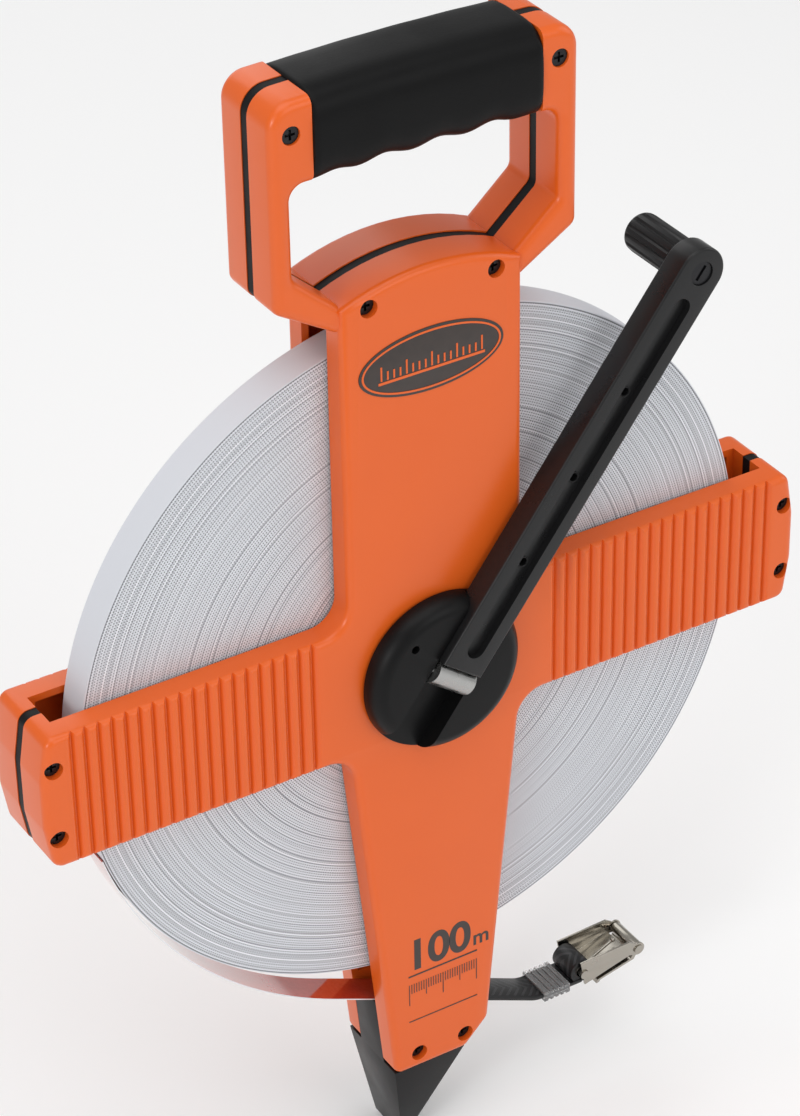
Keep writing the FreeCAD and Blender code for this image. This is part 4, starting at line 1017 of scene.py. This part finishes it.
arm = slab("crank_lever", [outline([
    (CRANK_HALF, CRANK_START),
    (CRANK_HALF, CRANK_FAR),
    (-CRANK_HALF, CRANK_FAR, 0, (0, CRANK_FAR + CRANK_HALF)),
    (-CRANK_HALF, CRANK_START),
])], CRANK_FRONT, CRANK_REAR, CRANK_EDGE, 3)
recess = slab("recess", [outline([
    (RECESS_HALF, RECESS_HIGH),
    (-RECESS_HALF, RECESS_HIGH, 0, (0, RECESS_HIGH + RECESS_HALF)),
    (-RECESS_HALF, RECESS_LOW - RECESS_HALF, RECESS_HALF - 0.05),
    (RECESS_HALF, RECESS_LOW - RECESS_HALF, RECESS_HALF - 0.05),
])], CRANK_FRONT - 2, RECESS_FLOOR)
carve(arm, recess)
eyelet_places = [RECESS_LOW + share * (RECESS_HIGH - RECESS_LOW) for share in (0.25, 0.5, 0.75)]
carve(arm, merged([bore(EYELET_BORE, 0, z, RECESS_FLOOR - 1, CRANK_REAR + 1) for z in eyelet_places]))
carve(arm, bore(BOLT_WELL, 0, CRANK_FAR, CRANK_FRONT - 1, CRANK_FRONT + 2.2, 48))
bpy.ops.object.select_all(action="DESELECT")
bpy.ops.mesh.primitive_cylinder_add(
    vertices=48, radius=BARREL_SEAT * MM, depth=20 * MM,
    location=(0, BARREL_LEVEL * MM, 0), rotation=(0, math.radians(90), 0),
)
carve(arm, settle(bpy.context.object, "tool"))
turned_with_crank(arm, "crank_lever")
smooth(arm, 30)
lever_black, tree, shader, places = finish(
    "lever_black", (0.010, 0.010, 0.0105), 0.28, Specular_IOR_Level=0.33)
mottle(tree, shader, places, 80.0, 0.24, 0.40, "Roughness")
grain(tree, shader, places, 1300.0, 0.2, 0.05)
dress(arm, lever_black)
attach(arm, "crank")
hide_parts("crank_arm")

eyelets = []
for z in eyelet_places:
    bpy.ops.object.select_all(action="DESELECT")
    bpy.ops.mesh.primitive_torus_add(
        location=(0, (RECESS_FLOOR - 0.15) * MM, z * MM), rotation=(math.radians(90), 0, 0),
        major_radius=EYELET_RING * MM, minor_radius=EYELET_WIRE * MM, major_segments=32, minor_segments=10,
    )
    eyelets.append(settle(bpy.context.object, "eyelet"))
eyelet_set = turned_with_crank(merged(eyelets), "crank_eyelets")
smooth(eyelet_set)
dress(eyelet_set, black)
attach(eyelet_set, "crank")

# ---- Crank knob -------------------------------------------------------------------------------
# A black knob that turns on its bolt and points back past the case. It has a plain collar next to
# the arm, shallow flutes along its length and a round end.

KNOB_FLUTES = 14
FLUTE_CUTS = 8
FLUTE_DEEP = 0.75
KNOB_EDGE = 1.8
END_CUTS = 6
knob_low, knob_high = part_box("crank_knob")
knob_middle = Vector(((knob_low[0] + knob_high[0]) / 2, 0, (knob_low[2] + knob_high[2]) / 2))
KNOB_RADIUS = (knob_high[0] - knob_low[0]) / 2 / MM
KNOB_NEAR = knob_low[1] / MM
KNOB_FAR = knob_high[1] / MM


def knob_ring(level, radius, flute):
    """One section of the knob, with shallow round flutes."""
    ring = []
    for cut in range(KNOB_FLUTES * FLUTE_CUTS):
        angle = 2 * math.pi * cut / (KNOB_FLUTES * FLUTE_CUTS)
        notch = max(0.0, math.cos(KNOB_FLUTES * angle)) ** 0.8
        reach = (radius - flute * notch) * MM
        x = knob_middle.x + reach * math.sin(angle)
        z = knob_middle.z + reach * math.cos(angle)
        ring.append((x, level * MM, z))
    return ring


end_start = KNOB_FAR - KNOB_EDGE
knob_rings = [
    knob_ring(KNOB_NEAR, KNOB_RADIUS - 1.0, 0.0),
    knob_ring(KNOB_NEAR + 0.3, KNOB_RADIUS - 0.3, 0.0),
    knob_ring(KNOB_NEAR + 1.6, KNOB_RADIUS - 0.2, 0.0),
    knob_ring(KNOB_NEAR + 2.2, KNOB_RADIUS, FLUTE_DEEP),
    knob_ring(end_start - 1.2, KNOB_RADIUS, FLUTE_DEEP),
    knob_ring(end_start, KNOB_RADIUS - 0.1, 0.3),
]
for cut in range(1, END_CUTS + 1):
    angle = math.radians(90 * cut / END_CUTS)
    radius = KNOB_RADIUS - 0.1 - 1.9 * (1 - math.cos(angle))
    knob_rings.append(knob_ring(end_start + KNOB_EDGE * math.sin(angle), radius, 0.0))
knob = skin_over("fluted_knob", knob_rings)
smooth(knob, 35)
dress(knob, black)
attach(knob, "knob")
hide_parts("crank_knob")

# ---- Free end of the blade --------------------------------------------------------------------
# The blade leaves the coil and passes through the foot. Its face is red and glossy, and its edges
# are white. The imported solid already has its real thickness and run.

blade_face, tree, shader, places = finish(
    "red_blade", (0.52, 0.045, 0.02), 0.1, Coat_Weight=1.0, Coat_IOR=1.9)
facing = tree.nodes.new("ShaderNodeNewGeometry")
parts = tree.nodes.new("ShaderNodeSeparateXYZ")
tree.links.new(facing.outputs["True Normal"], parts.inputs["Vector"])
is_edge = sums(tree, "GREATER_THAN", sums(tree, "ABSOLUTE", parts.outputs["Y"]), 0.8)
weave = tree.nodes.new("ShaderNodeTexNoise")
weave.inputs["Scale"].default_value = 700.0
tree.links.new(places, weave.inputs["Vector"])
red = tinted(tree, weave.outputs["Fac"], (0.46, 0.035, 0.015), (0.60, 0.060, 0.030))
tree.links.new(tinted(tree, is_edge, red, (0.72, 0.73, 0.76)), shader.inputs["Base Color"])
emboss(tree, shader, weave.outputs["Fac"], 0.2, 0.05)
dress_node("tape_tail", blade_face)

# ---- Leader, clamp and hook -------------------------------------------------------------------
# The blade ends in a black moulded leader with an embossed face, closed by a clear ribbed crimp. A
# nickel-plated hook swings on a pin in the leader's loop, and its claw swings on the far rivet.

CHEVRON_STEP = 3.2
CHEVRON_HALF = 5.2

leader = softened("leader_strap", "leader_black", 0.25)
leader_black, tree, shader, places = finish(
    "embossed_leader", (0.012, 0.012, 0.0125), 0.38, Specular_IOR_Level=0.4)
mottle(tree, shader, places, 90.0, 0.3, 0.46, "Roughness")
split = tree.nodes.new("ShaderNodeSeparateXYZ")
tree.links.new(places, split.inputs["Vector"])
off_middle = sums(tree, "ABSOLUTE", split.outputs["Y"])
chevron = sums(tree, "DIVIDE", sums(tree, "ADD", split.outputs["X"], off_middle), CHEVRON_STEP * MM)
wave = sums(tree, "PINGPONG", chevron, 0.5)
inner = sums(tree, "LESS_THAN", off_middle, CHEVRON_HALF * MM)
raised = sums(tree, "MULTIPLY", sums(tree, "GREATER_THAN", wave, 0.32), inner)
# The raised chevrons are painted lighter than the black around them: a painted highlight on the relief.
leader_tint_painted_highlight = tinted(tree, raised, (0.006, 0.006, 0.0065), (0.028, 0.028, 0.030))
tree.links.new(leader_tint_painted_highlight, shader.inputs["Base Color"])
emboss(tree, shader, raised, 1.0, 0.4)
dress(leader, leader_black)
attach(leader, "case")
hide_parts("leader_strap")

clamp = softened("leader_clamp", "leader_crimp", 0.15)
clear, tree, shader, places = finish("clear_crimp", (1.0, 1.0, 1.0), 0.1, Transmission_Weight=0.85, IOR=1.42)
mottle(tree, shader, places, 150.0, 0.05, 0.14, "Roughness")
grain(tree, shader, places, 900.0, 0.2, 0.05)
dress(clamp, clear)
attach(clamp, "case")
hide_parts("leader_clamp")

nickel, tree, shader, places = finish("nickel_plate", (0.40, 0.375, 0.33), 0.2, Metallic=1.0)
mottle(tree, shader, places, 180.0, 0.12, 0.3, "Roughness")
grain(tree, shader, places, 800.0, 0.15, 0.04)
for node, name, body, width in (
    ("hook_channel", "hook_cheeks", "hook", 0.2),
    ("hook_claw", "hook_claw_plate", "claw", 0.15),
):
    piece = softened(node, name, width)
    dress(piece, nickel)
    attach(piece, body)
    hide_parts(node)
dress_node("hook_pins", nickel)
dress_node("hook_wire", nickel)
